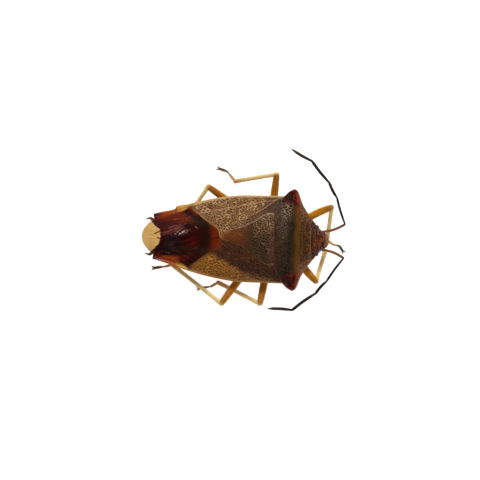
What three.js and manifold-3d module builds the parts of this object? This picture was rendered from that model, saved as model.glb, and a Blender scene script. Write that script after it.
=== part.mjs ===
// A life-size shield bug (a male of the large green-and-red hawthorn kind), standing on its six feet.
// Millimetres. +X is towards the head, +Y the animal's left side, +Z up, and z = 0 the floor.
// The body's own x = 0 lies under the middle of the scutellum; the last lines move the whole animal so
// that the origin is the middle of its footprint.
import * as THREE from "three";
import { mergeVertices } from "three/addons/utils/BufferGeometryUtils.js";
import Module from "manifold-3d";

const wasm = await Module();
wasm.setup();

// Driving sizes of the whole animal
const GAP = 0.28; // clearance kept between neighbouring parts
const HEAD_TIP_X = 7.45;
const WING_TIP_X = -7.55;
const SHOULDER_HALF = 4.08; // half width across the horns of the pronotum
const SHOULDER_X = 4.55;
const PLATE = 0.5; // thickness of the pronotum, the scutellum and the leathery part of the wings
const MEMBRANE = 0.38; // thickness of the clear part of the wings
const SCUTELLUM_FRONT_X = 2.74;
const SCUTELLUM_TIP_X = -1.33;
const ABDOMEN_FRONT_X = 1.1;
const ABDOMEN_REAR_X = -6.65;
const THORAX_REAR_X = ABDOMEN_FRONT_X + GAP;
const THORAX_FRONT_X = 5.95;
const HEAD_REAR_X = 6.28;
const FOOT_AXIS_Z = 0.2; // height of a foot's axis, less than its radius so that its sole is flat
const LIMB_SIDES = 8;

// A smooth curve through [x, y] points, x rising, that never overshoots them; flat beyond its ends.
function curve(points) {
  const xs = points.map((p) => p[0]);
  const ys = points.map((p) => p[1]);
  const last = xs.length - 1;
  const slope = xs.slice(1).map((x, i) => (ys[i + 1] - ys[i]) / (x - xs[i]));
  const tangent = xs.map((_, i) => {
    if (i === 0) return slope[0];
    if (i === last) return slope[last - 1];
    const product = slope[i - 1] * slope[i];
    return product <= 0 ? 0 : (2 * product) / (slope[i - 1] + slope[i]);
  });
  return (x) => {
    if (x <= xs[0]) return ys[0];
    if (x >= xs[last]) return ys[last];
    const i = xs.findIndex((right, k) => k > 0 && x <= right) - 1;
    const h = xs[i + 1] - xs[i];
    const t = (x - xs[i]) / h;
    return (
      ys[i] * (1 + 2 * t) * (1 - t) ** 2 +
      tangent[i] * h * t * (1 - t) ** 2 +
      ys[i + 1] * t * t * (3 - 2 * t) -
      tangent[i + 1] * h * t * t * (1 - t)
    );
  };
}

// A soft step from 0 at low to 1 at high, whichever of the two is the larger.
const smooth = (low, high, x) => {
  const t = THREE.MathUtils.clamp((x - low) / (high - low), 0, 1);
  return t * t * (3 - 2 * t);
};
const mix = THREE.MathUtils.lerp;
const range = (count) => Array.from({ length: count }, (_, i) => i);
// Numbers from 0 to 1 that lie closer together at both ends.
const eased = (steps) => range(steps + 1).map((i) => 0.5 - 0.5 * Math.cos((Math.PI * i) / steps));
const point = (x, y, z) => new THREE.Vector3(x, y, z);

// A closed solid from points and triangles, turned to face outwards.
function solid(points, triangles) {
  const raw = new THREE.BufferGeometry();
  raw.setAttribute("position", new THREE.Float32BufferAttribute(points.flatMap((p) => p.toArray()), 3));
  raw.setIndex(triangles.flat());
  const merged = mergeVertices(raw, 1e-3);
  const index = merged.index.array;
  const kept = [];
  for (let i = 0; i < index.length; i += 3) {
    const [a, b, c] = [index[i], index[i + 1], index[i + 2]];
    if (a !== b && b !== c && c !== a) kept.push(a, b, c);
  }
  const make = (corners) =>
    new wasm.Manifold(
      new wasm.Mesh({
        numProp: 3,
        vertProperties: merged.attributes.position.array,
        triVerts: new Uint32Array(corners),
      }),
    );
  const made = make(kept);
  return made.volume() >= 0 ? made : make(kept.reverse());
}

// Triangles of a grid of points with rows x columns; a closed grid joins its last column to its first.
function gridTriangles(rows, columns, start, closed, turned) {
  const triangles = [];
  const steps = closed ? columns : columns - 1;
  for (let i = 0; i < rows - 1; i++)
    for (let j = 0; j < steps; j++) {
      const a = start + i * columns + j;
      const b = start + i * columns + ((j + 1) % columns);
      const [c, d] = [b + columns, a + columns];
      triangles.push(...(turned ? [[a, c, b], [a, d, c]] : [[a, b, c], [a, c, d]]));
    }
  return triangles;
}

// A body through rings of points, with a flat cap on each end.
function loft(rings) {
  const columns = rings[0].length;
  const points = rings.flat();
  const triangles = gridTriangles(rings.length, columns, 0, true, false);
  const cap = (first, turned) => {
    const centre = points.length;
    const ring = points.slice(first, first + columns);
    points.push(ring.reduce((sum, p) => sum.add(p), point(0, 0, 0)).divideScalar(columns));
    for (const j of range(columns)) {
      const [a, b] = [first + j, first + ((j + 1) % columns)];
      triangles.push(turned ? [centre, b, a] : [centre, a, b]);
    }
  };
  cap(0, true);
  cap((rings.length - 1) * columns, false);
  return solid(points, triangles);
}

// A curved plate over the plan given by place(u, v) -> [x, y]. Its rim is rounded: the thickness falls to
// nothing along the outline within a margin of rim millimetres.
function plate({ us, vs, place, top, thickness, rim }) {
  const upper = [];
  const lower = [];
  for (const u of us)
    for (const v of vs) {
      const [x, y] = place(u, v);
      const acrossSpan = Math.hypot(place(u, 1)[0] - place(u, 0)[0], place(u, 1)[1] - place(u, 0)[1]);
      const alongSpan = Math.hypot(place(1, v)[0] - place(0, v)[0], place(1, v)[1] - place(0, v)[1]);
      const inset = Math.min(v * acrossSpan, (1 - v) * acrossSpan, u * alongSpan, (1 - u) * alongSpan);
      const share = Math.min(1, inset / rim);
      const fullness = Math.sqrt(Math.max(0, 1 - (1 - share) ** 2));
      const half = thickness(x, y) / 2;
      const middle = top(x, y, v) - half;
      upper.push(point(x, y, middle + half * fullness));
      lower.push(point(x, y, middle - half * fullness));
    }
  return solid(
    [...upper, ...lower],
    [
      ...gridTriangles(us.length, vs.length, 0, false, false),
      ...gridTriangles(us.length, vs.length, upper.length, false, true),
    ],
  );
}

// A round limb along a path, with a radius at each point, grown by `grow` when another part needs clearance.
function limb(path, radii, grow = 0, sides = LIMB_SIDES) {
  const rings = [];
  const last = path.length - 1;
  const side = point(0, 0, 0);
  const ends = [
    [-1, 0],
    [-0.7, 0.7],
    [0, 1],
  ];
  const ringAt = (centre, direction, radius) => {
    if (side.lengthSq() === 0) side.crossVectors(direction, point(0, 0, 1));
    side.addScaledVector(direction, -side.dot(direction)).normalize();
    const up = point(0, 0, 0).crossVectors(side, direction);
    rings.push(
      range(sides).map((k) => {
        const angle = ((k + 0.5) / sides) * 2 * Math.PI;
        return centre
          .clone()
          .addScaledVector(side, radius * Math.cos(angle))
          .addScaledVector(up, radius * Math.sin(angle));
      }),
    );
  };
  for (const i of range(path.length)) {
    const direction = path[Math.min(i + 1, last)].clone().sub(path[Math.max(i - 1, 0)]).normalize();
    const radius = radii[i] + grow;
    const shares = i === 0 ? ends : i === last ? ends.map(([a, b]) => [-a, b]).reverse() : [[0, 1]];
    for (const [along, across] of shares) {
      const centre = path[i].clone().addScaledVector(direction, along * radius);
      ringAt(centre, direction, Math.max(across * radius, 1e-5));
    }
  }
  return loft(rings);
}

const join = (pieces) => pieces.reduce((sum, piece) => sum.add(piece));
const largest = (made) => made.decompose().sort((a, b) => b.volume() - a.volume())[0];

// A closed solid from one of the library's own closed shapes.
function fromGeometry(geometry) {
  geometry.deleteAttribute("normal");
  geometry.deleteAttribute("uv");
  const merged = mergeVertices(geometry, 1e-4);
  const place = merged.attributes.position;
  const corners = [...merged.index.array];
  return solid(
    range(place.count).map((i) => point(0, 0, 0).fromBufferAttribute(place, i)),
    range(corners.length / 3).map((i) => corners.slice(3 * i, 3 * i + 3)),
  );
}

const ellipsoid = (centre, radii, detail) =>
  fromGeometry(new THREE.IcosahedronGeometry(1, detail).scale(...radii).translate(...centre));

// The outline of the body from above, and the height of its back
const bodyHalf = curve([
  [ABDOMEN_REAR_X, 1.78],
  [-5.6, 2.1],
  [-4.6, 2.42],
  [-3.7, 2.7],
  [-2.4, 3.04],
  [-0.8, 3.34],
  [0.4, 3.47],
  [3.7, 3.5],
]);
const backMiddleZ = curve([
  [WING_TIP_X, 3.66],
  [-6.4, 3.95],
  [-4, 4.3],
  [SCUTELLUM_TIP_X, 4.66],
  [1, 5.0],
  [SCUTELLUM_FRONT_X, 5.2],
]);
const backEdgeZ = curve([
  [WING_TIP_X, 3.35],
  [-6, 3.25],
  [-4, 3.25],
  [-1, 3.4],
  [1.5, 3.6],
  [3.7, 4.05],
]);
const ARCH_POWER = 2.4;
const back = (x, y) => {
  const share = Math.min(1, Math.abs(y) / bodyHalf(x));
  return mix(backMiddleZ(x), backEdgeZ(x), share ** ARCH_POWER);
};

// The pronotum: its front and rear edges for each distance from the midline, and its own arch
const pronotumFront = curve([
  [0, 6.0],
  [0.8, 6.04],
  [1.3, 6.14],
  [1.6, 6.05],
  [1.95, 5.84],
  [2.4, 5.54],
  [2.85, 5.25],
  [3.3, 5.07],
  [3.75, 4.94],
  [3.98, 4.78],
  [SHOULDER_HALF, SHOULDER_X],
]);
const pronotumRear = curve([
  [0, 3.0],
  [1.6, 3.0],
  [2.2, 3.08],
  [2.8, 3.38],
  [3.3, 3.7],
  [3.55, 3.9],
  [3.85, 4.2],
  [SHOULDER_HALF, SHOULDER_X],
]);
const pronotumHalf = curve([
  [3.0, 3.5],
  [3.85, 3.54],
  [SHOULDER_X, SHOULDER_HALF],
  [4.94, 3.75],
  [5.25, 2.85],
  [5.84, 1.95],
  [6.14, 1.4],
]);
const pronotumMiddleZ = curve([
  [3.0, 5.28],
  [3.8, 5.26],
  [4.6, 5.02],
  [5.3, 4.58],
  [6.1, 4.0],
]);
const pronotumEdgeZ = curve([
  [3.0, 4.0],
  [3.7, 4.25],
  [SHOULDER_X, 4.72],
  [5.0, 4.42],
  [5.5, 3.82],
  [6.1, 3.5],
]);
const pronotumTop = (x, y) => {
  const share = Math.min(1, Math.abs(y) / pronotumHalf(x));
  return mix(pronotumMiddleZ(x), pronotumEdgeZ(x), share ** ARCH_POWER);
};
// The horns are thicker than the plate, and the edge in front of them has a raised bead.
const pronotumThickness = (x, y) => PLATE + 0.3 * smooth(2.9, 3.7, Math.abs(y));

function pronotum() {
  return plate({
    us: range(31).map((i) => i / 30),
    vs: [0, 0.08, 0.2, 0.36, 0.52, 0.68, 0.82, 0.93, 1],
    place: (u, v) => {
      const y = SHOULDER_HALF * Math.sin((u - 0.5) * Math.PI);
      return [mix(pronotumRear(Math.abs(y)), pronotumFront(Math.abs(y)), v), y];
    },
    top: pronotumTop,
    thickness: pronotumThickness,
    rim: 0.26,
  });
}

// The scutellum, a long triangle with a narrow tip
const scutellumHalf = curve([
  [SCUTELLUM_TIP_X, 0.04],
  [-1.2, 0.17],
  [-0.7, 0.36],
  [0.6, 1.02],
  [2.2, 1.93],
  [SCUTELLUM_FRONT_X, 2.16],
]);

function scutellum() {
  return plate({
    us: eased(16),
    vs: [0, 0.08, 0.22, 0.38, 0.5, 0.62, 0.78, 0.92, 1],
    place: (u, v) => {
      const x = mix(SCUTELLUM_TIP_X, SCUTELLUM_FRONT_X, u);
      return [x, mix(-1, 1, v) * scutellumHalf(x)];
    },
    top: (x, y) => back(x, y) + 0.06 * (1 - (y / (scutellumHalf(x) + 0.1)) ** 2),
    thickness: () => PLATE,
    rim: 0.22,
  });
}

// A fore wing is leathery in front and clear behind, where the left one lies over the right one. Its outer
// edge draws in from the body's, and its inner edge follows the scutellum and then crosses the midline.
const WING_FRONT_X = 3.6;
const wingInset = curve([
  [-6.4, 0.42],
  [-3.9, 0.4],
  [-3.3, 0.2],
  [-2.6, 0.06],
  [-1.5, 0],
]);
const wingTipHalf = curve([
  [WING_TIP_X, 0.05],
  [-7.48, 0.42],
  [-7.2, 0.88],
  [-6.86, 1.22],
  [-6.4, 1.46],
  [-6.0, 1.58],
]);
const wingOuter = (x) => (x < -6 ? wingTipHalf(x) : Math.max(bodyHalf(x) - wingInset(x), 1.58));
const besideScutellum = [
  [SCUTELLUM_TIP_X, GAP + 0.08],
  [-1.2, GAP + 0.22],
  [-0.7, GAP + 0.44],
  [0.6, GAP + 1.12],
  [2.2, GAP + 2.04],
  [SCUTELLUM_FRONT_X, GAP + 2.26],
  [3.0, 2.64],
  [3.1, 2.82],
  [3.42, 3.3],
  [WING_FRONT_X, 3.46],
];
const acrossMidline = [
  [WING_TIP_X, 0.03],
  [-7.48, -0.3],
  [-7.2, -0.72],
  [-6.86, -1.02],
  [-6.4, -1.22],
  [-5.6, -1.32],
  [-4, -1.25],
];
const leftInner = curve([
  ...acrossMidline,
  [-3.1, -0.85],
  [-2.4, -0.4],
  [-1.8, 0.05],
  ...besideScutellum,
]);
const rightInner = curve([
  ...acrossMidline,
  [-3.3, -0.6],
  [-2.7, 0.3],
  [-2.2, 0.5],
  [-1.75, 0.42],
  ...besideScutellum,
]);
const wingThickness = (x) => mix(MEMBRANE, PLATE, smooth(-3.4, -2.2, x)) - 0.08 * smooth(-6.4, -7.4, x);
// How far the right wing sinks to pass under the left one: it slopes down between these two distances
// beside the left wing's edge.
const SLOPE_TOP = 0.74;
const SLOPE_FOOT = 0.2;
const underLap = (x, y) => {
  const edge = leftInner(x);
  return (MEMBRANE + GAP + 0.05) * smooth(edge - SLOPE_TOP, edge - SLOPE_FOOT, y) * smooth(-1.2, -1.8, x);
};
// The clear part starts behind a line from the scutellum's tip back and outwards.
const membraneStart = curve([
  [0, -1.5],
  [0.5, -1.55],
  [1.35, -2.55],
  [2.1, -3.45],
  [2.4, -3.9],
]);
const WING_ROWS = 41;
const WING_COLUMNS = [0, 0.07, 0.14, 0.21, 0.28, 0.35, 0.42, 0.5, 0.58, 0.65, 0.72, 0.79, 0.86, 0.93, 1];
// The right wing slopes down between these two of its columns, which follow the left wing's edge.
const STEP_FROM = 0.42;
const STEP_TO = 0.58;
const acrossRight = (x, v) => {
  const [inner, outer, edge] = [rightInner(x), wingOuter(x), -leftInner(x)];
  const followed = smooth(-1.7, -2.8, x);
  const from = mix(mix(inner, outer, STEP_FROM), Math.min(edge + SLOPE_FOOT, outer - 0.3), followed);
  const to = mix(mix(inner, outer, STEP_TO), Math.min(edge + SLOPE_TOP, outer - 0.06), followed);
  if (v < STEP_FROM) return mix(inner, from, v / STEP_FROM);
  if (v < STEP_TO) return mix(from, to, (v - STEP_FROM) / (STEP_TO - STEP_FROM));
  return mix(to, outer, (v - STEP_TO) / (1 - STEP_TO));
};
const VEIN_HEIGHT = 0.07;
const CLAVAL_GROOVE = 0.07;
// The groove that marks off the strip beside the scutellum, from the tip to the shoulder.
const clavalLine = (x) => mix(0.3, 3.2, (x - SCUTELLUM_TIP_X) / 4.85);

function wing(side) {
  const left = side > 0;
  const inner = left ? leftInner : rightInner;
  const across = left ? (x, v) => mix(inner(x), wingOuter(x), v) : acrossRight;
  // the veins run along every second column of the clear part, but not over the right wing's step
  const veined = (v) =>
    WING_COLUMNS.indexOf(v) % 2 === 0 && v > 0.1 && v < 0.93 && (left || Math.abs(v - 0.5) > 0.1);
  return plate({
    us: eased(WING_ROWS - 1).map((share, i) => mix(i / (WING_ROWS - 1), share, 0.45)),
    vs: WING_COLUMNS,
    place: (u, v) => {
      const x = mix(WING_TIP_X, WING_FRONT_X, u);
      return [x, side * across(x, v)];
    },
    top: (x, y, v) => {
      const out = side * y;
      const behind = smooth(0, 0.7, membraneStart(Math.max(out, 0)) - x);
      const groove = CLAVAL_GROOVE * Math.exp(-(((out - clavalLine(x)) / 0.16) ** 2)) * smooth(-1.2, -0.6, x);
      const sunk = left ? 0 : underLap(x, y);
      const raised = (veined(v) && sunk === 0 ? VEIN_HEIGHT : 0) * behind * smooth(WING_TIP_X + 0.1, -6.9, x);
      return back(x, y) - 0.04 * behind - groove + raised - sunk;
    },
    thickness: wingThickness,
    rim: 0.2,
  });
}

// The underside: one ring of the thorax or abdomen at x. Its belly is a shallow keel, its flanks slope out to
// the margin, and its roof follows the plates above.
const bellyZ = curve([
  [ABDOMEN_REAR_X, 1.85],
  [-5.5, 1.65],
  [-3.5, 1.42],
  [-1, 1.35],
  [2.5, 1.35],
  [4, 1.55],
  [5, 1.95],
  [THORAX_FRONT_X, 2.45],
]);
const BELLY_POWER = 1.35;
const RING_HALF = 7;

function bodyRing(x, half, roof, marginZ, grow) {
  const low = bellyZ(x) - grow;
  const under = range(RING_HALF).map((i) => i / (RING_HALF - 1));
  const flank = under.map((share) => {
    const y = (half + grow) * Math.sin((share * Math.PI) / 2);
    return [y, mix(low, marginZ - grow, (y / (half + grow)) ** BELLY_POWER)];
  });
  const over = under.slice(0, -1).map((share) => {
    const y = (half - 0.06) * Math.cos((share * Math.PI) / 2);
    return [y, roof(x, y) + grow];
  });
  const right = [...flank, ...over];
  const middleTop = [0, roof(x, 0) + grow];
  const leftSide = right.slice(1).reverse().map(([y, z]) => [-y, z]);
  return [...right, middleTop, ...leftSide].map(([y, z]) => point(x, y, z));
}

// Roof of the abdomen: one wing lies over it at the sides and two along the middle.
const doubled = (x) => smooth(-0.9, -1.6, x);
const abdomenRoof = (x, y) => {
  const second = doubled(x) * smooth(2.25, 1.78, Math.abs(y));
  return back(x, y) - wingThickness(x) - GAP - (MEMBRANE + GAP) * second - 0.08;
};
const abdomenHalf = (x) => bodyHalf(x) - 0.1 * smooth(-1.5, 0.5, x);
const REAR_NOTCH = { x: -7.25, along: 1.45, across: 1.5 };

function abdomen(grow = 0) {
  const stations = eased(18).map((share) => mix(ABDOMEN_FRONT_X, ABDOMEN_REAR_X, share));
  const rings = stations.map((x, i) => {
    // each segment's hind edge stands out a little from the next one's front
    const step = 0.05 * (i % 2);
    const margin = backEdgeZ(x) - PLATE - GAP;
    return bodyRing(x, abdomenHalf(x) + step - 0.05, abdomenRoof, margin - 0.22, grow);
  });
  return loft(rings);
}

// A standing oval cylinder that cuts the notch in the hind end.
const rearNotch = () =>
  fromGeometry(
    new THREE.CylinderGeometry(1, 1, 6, 32)
      .rotateX(Math.PI / 2)
      .scale(REAR_NOTCH.along, REAR_NOTCH.across, 1)
      .translate(REAR_NOTCH.x, 0, 3),
  );

// The spine that points forwards from the front of the belly
const spinePath = [point(0.2, 0, 1.5), point(1.15, 0, 0.84), point(2.2, 0, 0.76)];
const spineRadii = [0.34, 0.2, 0.12];

function thorax(grow = 0) {
  const half = curve([
    [THORAX_REAR_X, 3.3],
    [3.4, 3.2],
    [4.4, 3.1],
    [5.1, 2.6],
    [THORAX_FRONT_X, 1.45],
  ]);
  const roof = (x, y) => {
    const cover = mix(back(x, y), pronotumTop(x, y), smooth(2.7, 3.6, x));
    return cover - PLATE - GAP - 0.12;
  };
  const stations = range(13).map((i) => mix(THORAX_REAR_X - grow, THORAX_FRONT_X + grow, i / 12));
  const margin = (x) => mix(backEdgeZ(x), pronotumEdgeZ(x), smooth(3, 4, x)) - PLATE - GAP - 0.3;
  return loft(stations.map((x) => bodyRing(x, half(x), roof, margin(x), grow)));
}

// The blade along the middle of the breast, just ahead of the abdomen's forward spine
const keel = () =>
  limb([point(2.5, 0, 1.4), point(3.0, 0, 1.28), point(3.6, 0, 1.45)], [0.2, 0.26, 0.2]);

// The head: half width, top and bottom at each x
const headHalf = curve([
  [HEAD_REAR_X, 1.02],
  [6.5, 0.98],
  [6.86, 0.8],
  [7.24, 0.52],
  [7.4, 0.27],
  [HEAD_TIP_X, 0.05],
]);
const headTopZ = curve([
  [HEAD_REAR_X, 3.98],
  [6.8, 3.72],
  [7.2, 3.36],
  [HEAD_TIP_X, 3.02],
]);
const headLowZ = curve([
  [HEAD_REAR_X, 2.3],
  [6.8, 2.42],
  [7.2, 2.62],
  [HEAD_TIP_X, 2.9],
]);
const HEAD_RING = 20;

function headShell(grow = 0) {
  const stations = [HEAD_REAR_X, 6.38, 6.5, 6.66, 6.82, 6.98, 7.12, 7.24, 7.34, 7.41, HEAD_TIP_X];
  return loft(
    stations.map((station) => {
      const x = station + grow * (station > 7 ? 1 : station < 6.3 ? -1 : 0);
      const half = headHalf(station) + grow;
      const high = headTopZ(station) + grow;
      const low = headLowZ(station) - grow;
      const rim = mix(low, high, 0.5);
      return range(HEAD_RING).map((k) => {
        const angle = (k / HEAD_RING) * 2 * Math.PI;
        const [c, s] = [Math.cos(angle), Math.sin(angle)];
        const y = half * Math.sign(c) * Math.abs(c) ** 0.8;
        const tylus = s > 0 ? 0.07 * Math.exp(-((y / 0.24) ** 4)) * smooth(6.4, 6.9, station) : 0;
        return point(x, y, rim + (s > 0 ? high - rim : rim - low) * s + tylus);
      });
    }),
  );
}

const EYE = { x: 6.45, y: 0.99, z: 3.28, radii: [0.31, 0.29, 0.36] };
const eye = (side, grow = 0) =>
  ellipsoid(
    [EYE.x, side * EYE.y, EYE.z],
    EYE.radii.map((r) => r + grow),
    grow ? 3 : 4,
  );

// Feelers: five segments each, thinner at the joints, cut clear of the head at the root
const FEELER_RADIUS = 0.25;
const feelerJoints = {
  left: [
    [6.7, 0.62, 2.85],
    [8.69, 1.36, 3.25],
    [7.99, 3.46, 3.2],
    [7.34, 4.66, 3.05],
    [5.91, 6.36, 2.7],
    [4.25, 7.28, 2.2],
  ],
  right: [
    [6.75, -0.6, 2.85],
    [8.65, -1.33, 3.25],
    [7.35, -3.2, 3.2],
    [6.49, -4.21, 3.05],
    [4.65, -5.6, 2.7],
    [2.69, -5.55, 2.2],
  ],
};

function feeler(joints) {
  const path = [];
  const radii = [];
  joints.slice(1).forEach((end, i) => {
    const [a, b] = [point(...joints[i]), point(...end)];
    const lastOne = i === joints.length - 2;
    const steps = [
      [0.08, 0.72],
      [0.25, 1],
      [0.8, lastOne ? 0.8 : 1],
      [0.93, lastOne ? 0.4 : 0.8],
    ];
    for (const [share, thick] of steps) {
      path.push(a.clone().lerp(b, share));
      radii.push(FEELER_RADIUS * thick);
    }
  });
  return limb(path, radii);
}

// The beak folds back under the head between the front legs.
const beakPath = [
  point(7.1, 0, 2.6),
  point(6.75, 0, 2.0),
  point(5.9, 0, 1.75),
  point(4.9, 0, 1.3),
  point(4.0, 0, 1.0),
];
const beakRadii = [0.26, 0.27, 0.25, 0.25, 0.2];

// Legs, left and right of each pair: the root on the breast as [x, y], the knee as [x, y, z], the end of the
// shin, and the foot's joints, of which the last is its tip
const legs = {
  fore_left: {
    root: [4.9, 0.95],
    knee: [7.6, 2.72, 2.35],
    heel: [7.31, 0.07],
    foot: [[7.83, -0.28], [8.28, -0.4], [8.57, -0.74]],
  },
  fore_right: {
    root: [4.9, -0.95],
    knee: [6.5, -3.28, 2.35],
    heel: [7.19, -0.82],
    foot: [[6.66, -0.62], [5.95, -0.3]],
  },
  mid_left: {
    root: [2.75, 1.0],
    knee: [3.12, 5.25, 2.75],
    heel: [-0.18, 4.6],
    foot: [[-0.64, 5.13], [-0.9, 5.36], [-1.5, 5.58]],
  },
  mid_right: {
    root: [2.75, -1.0],
    knee: [2.05, -5.18, 2.75],
    heel: [-1.34, -3.57],
    foot: [[-1.91, -3.91], [-2.85, -4.08]],
  },
  hind_left: {
    root: [1.75, 1.0],
    knee: [-2.35, 4.12, 2.15],
    heel: [-4.94, 0.1],
    foot: [[-5.55, 0.15], [-6.4, 0.2]],
  },
  hind_right: {
    root: [1.75, -1.0],
    knee: [-1.05, -5.25, 2.68],
    heel: [-5.06, -2.24],
    foot: [[-5.6, -2.4], [-6.5, -2.53]],
  },
};
const FEMUR_RADIUS = 0.31;
const TIBIA_RADIUS = 0.25;
const HEEL_Z = 0.42;
const CLAW = { reach: 0.36, spread: 0.17, tipZ: 0.12, radii: [0.14, 0.07] };

function femur({ root, knee }, grow = 0) {
  const top = point(root[0], root[1], bellyZ(root[0]) + 0.62);
  const low = point(root[0], root[1] * 1.25, bellyZ(root[0]) - 0.4);
  const end = point(...knee);
  const along = (share) => low.clone().lerp(end, share);
  const radii = [0.36, 0.34, 0.27, FEMUR_RADIUS, FEMUR_RADIUS, 0.27, 0.25];
  return limb([top, low, along(0.12), along(0.35), along(0.65), along(0.9), along(0.97)], radii, grow);
}

function tibia({ knee, heel }, grow = 0) {
  const [top, low] = [point(...knee), point(heel[0], heel[1], HEEL_Z)];
  const along = (share) => top.clone().lerp(low, share);
  return limb([top, along(0.2), along(0.85), low], [0.25, TIBIA_RADIUS, TIBIA_RADIUS, 0.27], grow);
}

// Two segments, then a pair of claws; everything under the floor is cut away, which leaves flat soles.
function foot({ heel, foot: [joint, ...onwards] }) {
  const onFloor = ([x, y]) => point(x, y, FOOT_AXIS_Z);
  const along = (from, to, share) => from.clone().lerp(to, share);
  const [start, middle] = [onFloor(heel), onFloor(joint)];
  const bends = onwards.slice(0, -1).map(onFloor);
  const tip = onFloor(onwards.at(-1));
  const next = bends[0] ?? along(middle, tip, 0.55);
  const first = [start, along(start, middle, 0.5), along(start, middle, 0.9)];
  const path = [...first, along(middle, next, 0.3), next, tip];
  const pieces = [limb(path, [0.22, 0.25, 0.2, 0.2, 0.25, 0.2])];
  const ahead = tip.clone().sub(next).normalize();
  for (const side of [-1, 1]) {
    const spread = point(-ahead.y, ahead.x, 0).multiplyScalar(CLAW.spread * side);
    const claw = tip.clone().addScaledVector(ahead, CLAW.reach).add(spread).setZ(CLAW.tipZ);
    pieces.push(limb([tip.clone().addScaledVector(spread, 0.4), claw], CLAW.radii, 0, 6));
  }
  return join(pieces).trimByPlane([0, 0, 1], 0);
}

// The male's genital capsule: a hollowed cup in the notch of the last segment, with an arm on each side
const CAPSULE_Z = 2.0;
const CAPSULE_ARM = [
  [-5.9, 0.75],
  [-6.4, 1.0],
  [-6.8, 1.16],
  [-7.12, 1.36],
];

function capsule(grow = 0) {
  const radii = [0.95, 1.1, 0.4].map((r) => r + grow);
  const shell = ellipsoid([-5.75, 0, CAPSULE_Z], radii, grow ? 3 : 4);
  const hollow = ellipsoid([-7.15, 0, CAPSULE_Z + 0.05], [0.95, 1.0, 0.7], 4);
  const arms = [-1, 1].map((side) =>
    limb(
      CAPSULE_ARM.map(([x, y]) => point(x, side * y, CAPSULE_Z)),
      [0.25, 0.25, 0.2, 0.12],
      grow,
    ),
  );
  return join([grow ? shell : shell.subtract(hollow), ...arms]);
}

// Colours, from the photographed animal
const finish = (color, roughness) => new THREE.MeshStandardMaterial({ color, roughness, metalness: 0 });
const shellBrown = finish("#6b4a24", 0.45);
const scutellumBrown = finish("#5a3a1a", 0.45);
const wingBrown = finish("#8a6a3c", 0.45);
const darkRed = finish("#4a0f0a", 0.35);
const underside = finish("#a87a34", 0.5);
const amber = finish("#a5650f", 0.35);
const straw = finish("#b39a52", 0.4);
const footBrown = finish("#5c4426", 0.5);
const feelerBlack = finish("#1d1a17", 0.45);
const headBrown = finish("#6a3a22", 0.5);
const eyeBlack = finish("#1b1210", 0.2);

const bug = new THREE.Group();

function add(name, made, material) {
  const kept = largest(made).getMesh();
  const geometry = new THREE.BufferGeometry();
  geometry.setAttribute("position", new THREE.BufferAttribute(Float32Array.from(kept.vertProperties), 3));
  geometry.setIndex(new THREE.BufferAttribute(Uint32Array.from(kept.triVerts), 1));
  const mesh = new THREE.Mesh(geometry, material);
  mesh.name = name;
  bug.add(mesh);
}

const sides = { left: 1, right: -1 };
const clearOfEyes = (made) => Object.values(sides).reduce((sum, side) => sum.subtract(eye(side, GAP)), made);
const breast = clearOfEyes(join([thorax(), keel()]));
const grownThorax = thorax(GAP);
const grownHead = headShell(GAP);

add("head", clearOfEyes(headShell()), headBrown);
add("pronotum", clearOfEyes(pronotum()), shellBrown);
add("scutellum", scutellum(), scutellumBrown);
add("thorax", breast, underside);
const belly = abdomen().subtract(rearNotch()).subtract(capsule(GAP));
add("abdomen", join([belly, limb(spinePath, spineRadii)]), darkRed);
add("genital_capsule", capsule(), darkRed);
add("beak", limb(beakPath, beakRadii).subtract(grownHead), straw);
for (const [name, side] of Object.entries(sides)) {
  add(`eye_${name}`, eye(side), eyeBlack);
  const freeFeeler = feeler(feelerJoints[name]).subtract(grownHead).subtract(eye(side, GAP));
  add(`antenna_${name}`, freeFeeler, feelerBlack);
  add(`forewing_${name}`, wing(side), wingBrown);
}
for (const [name, leg] of Object.entries(legs)) {
  add(`femur_${name}`, femur(leg).subtract(grownThorax), amber);
  add(`tibia_${name}`, tibia(leg).subtract(femur(leg, GAP)), straw);
  add(`tarsus_${name}`, foot(leg).subtract(tibia(leg, GAP)), footBrown);
}

const bounds = new THREE.Box3().setFromObject(bug);
const middle = bounds.getCenter(point(0, 0, 0));
bug.position.set(-middle.x, -middle.y, -bounds.min.z);

export default bug;
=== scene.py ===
"""A life-size shield bug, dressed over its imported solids.

Shapes are written in millimetres in the animal's own frame: +X towards the head, +Y its left side, z = 0 the
floor, and x = 0 under the middle of the scutellum. put() takes them to the row's frame, in metres.
"""

import math

import bmesh
import bpy
import numpy as np
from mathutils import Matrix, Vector


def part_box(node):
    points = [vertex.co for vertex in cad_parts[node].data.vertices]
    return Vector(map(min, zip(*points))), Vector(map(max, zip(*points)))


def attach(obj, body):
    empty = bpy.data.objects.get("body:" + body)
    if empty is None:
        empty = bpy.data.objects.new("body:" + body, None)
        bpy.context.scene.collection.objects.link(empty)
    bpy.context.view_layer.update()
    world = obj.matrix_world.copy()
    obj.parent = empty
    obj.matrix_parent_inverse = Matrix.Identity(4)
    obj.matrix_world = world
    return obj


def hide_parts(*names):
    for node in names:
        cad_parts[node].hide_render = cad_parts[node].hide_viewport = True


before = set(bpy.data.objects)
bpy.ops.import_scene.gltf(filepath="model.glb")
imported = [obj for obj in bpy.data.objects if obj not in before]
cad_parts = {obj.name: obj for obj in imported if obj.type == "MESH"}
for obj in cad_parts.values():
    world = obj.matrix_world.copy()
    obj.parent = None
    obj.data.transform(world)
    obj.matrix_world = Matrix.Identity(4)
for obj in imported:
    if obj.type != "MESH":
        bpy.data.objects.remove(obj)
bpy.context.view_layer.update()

PER_METRE = 1000  # millimetres

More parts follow.
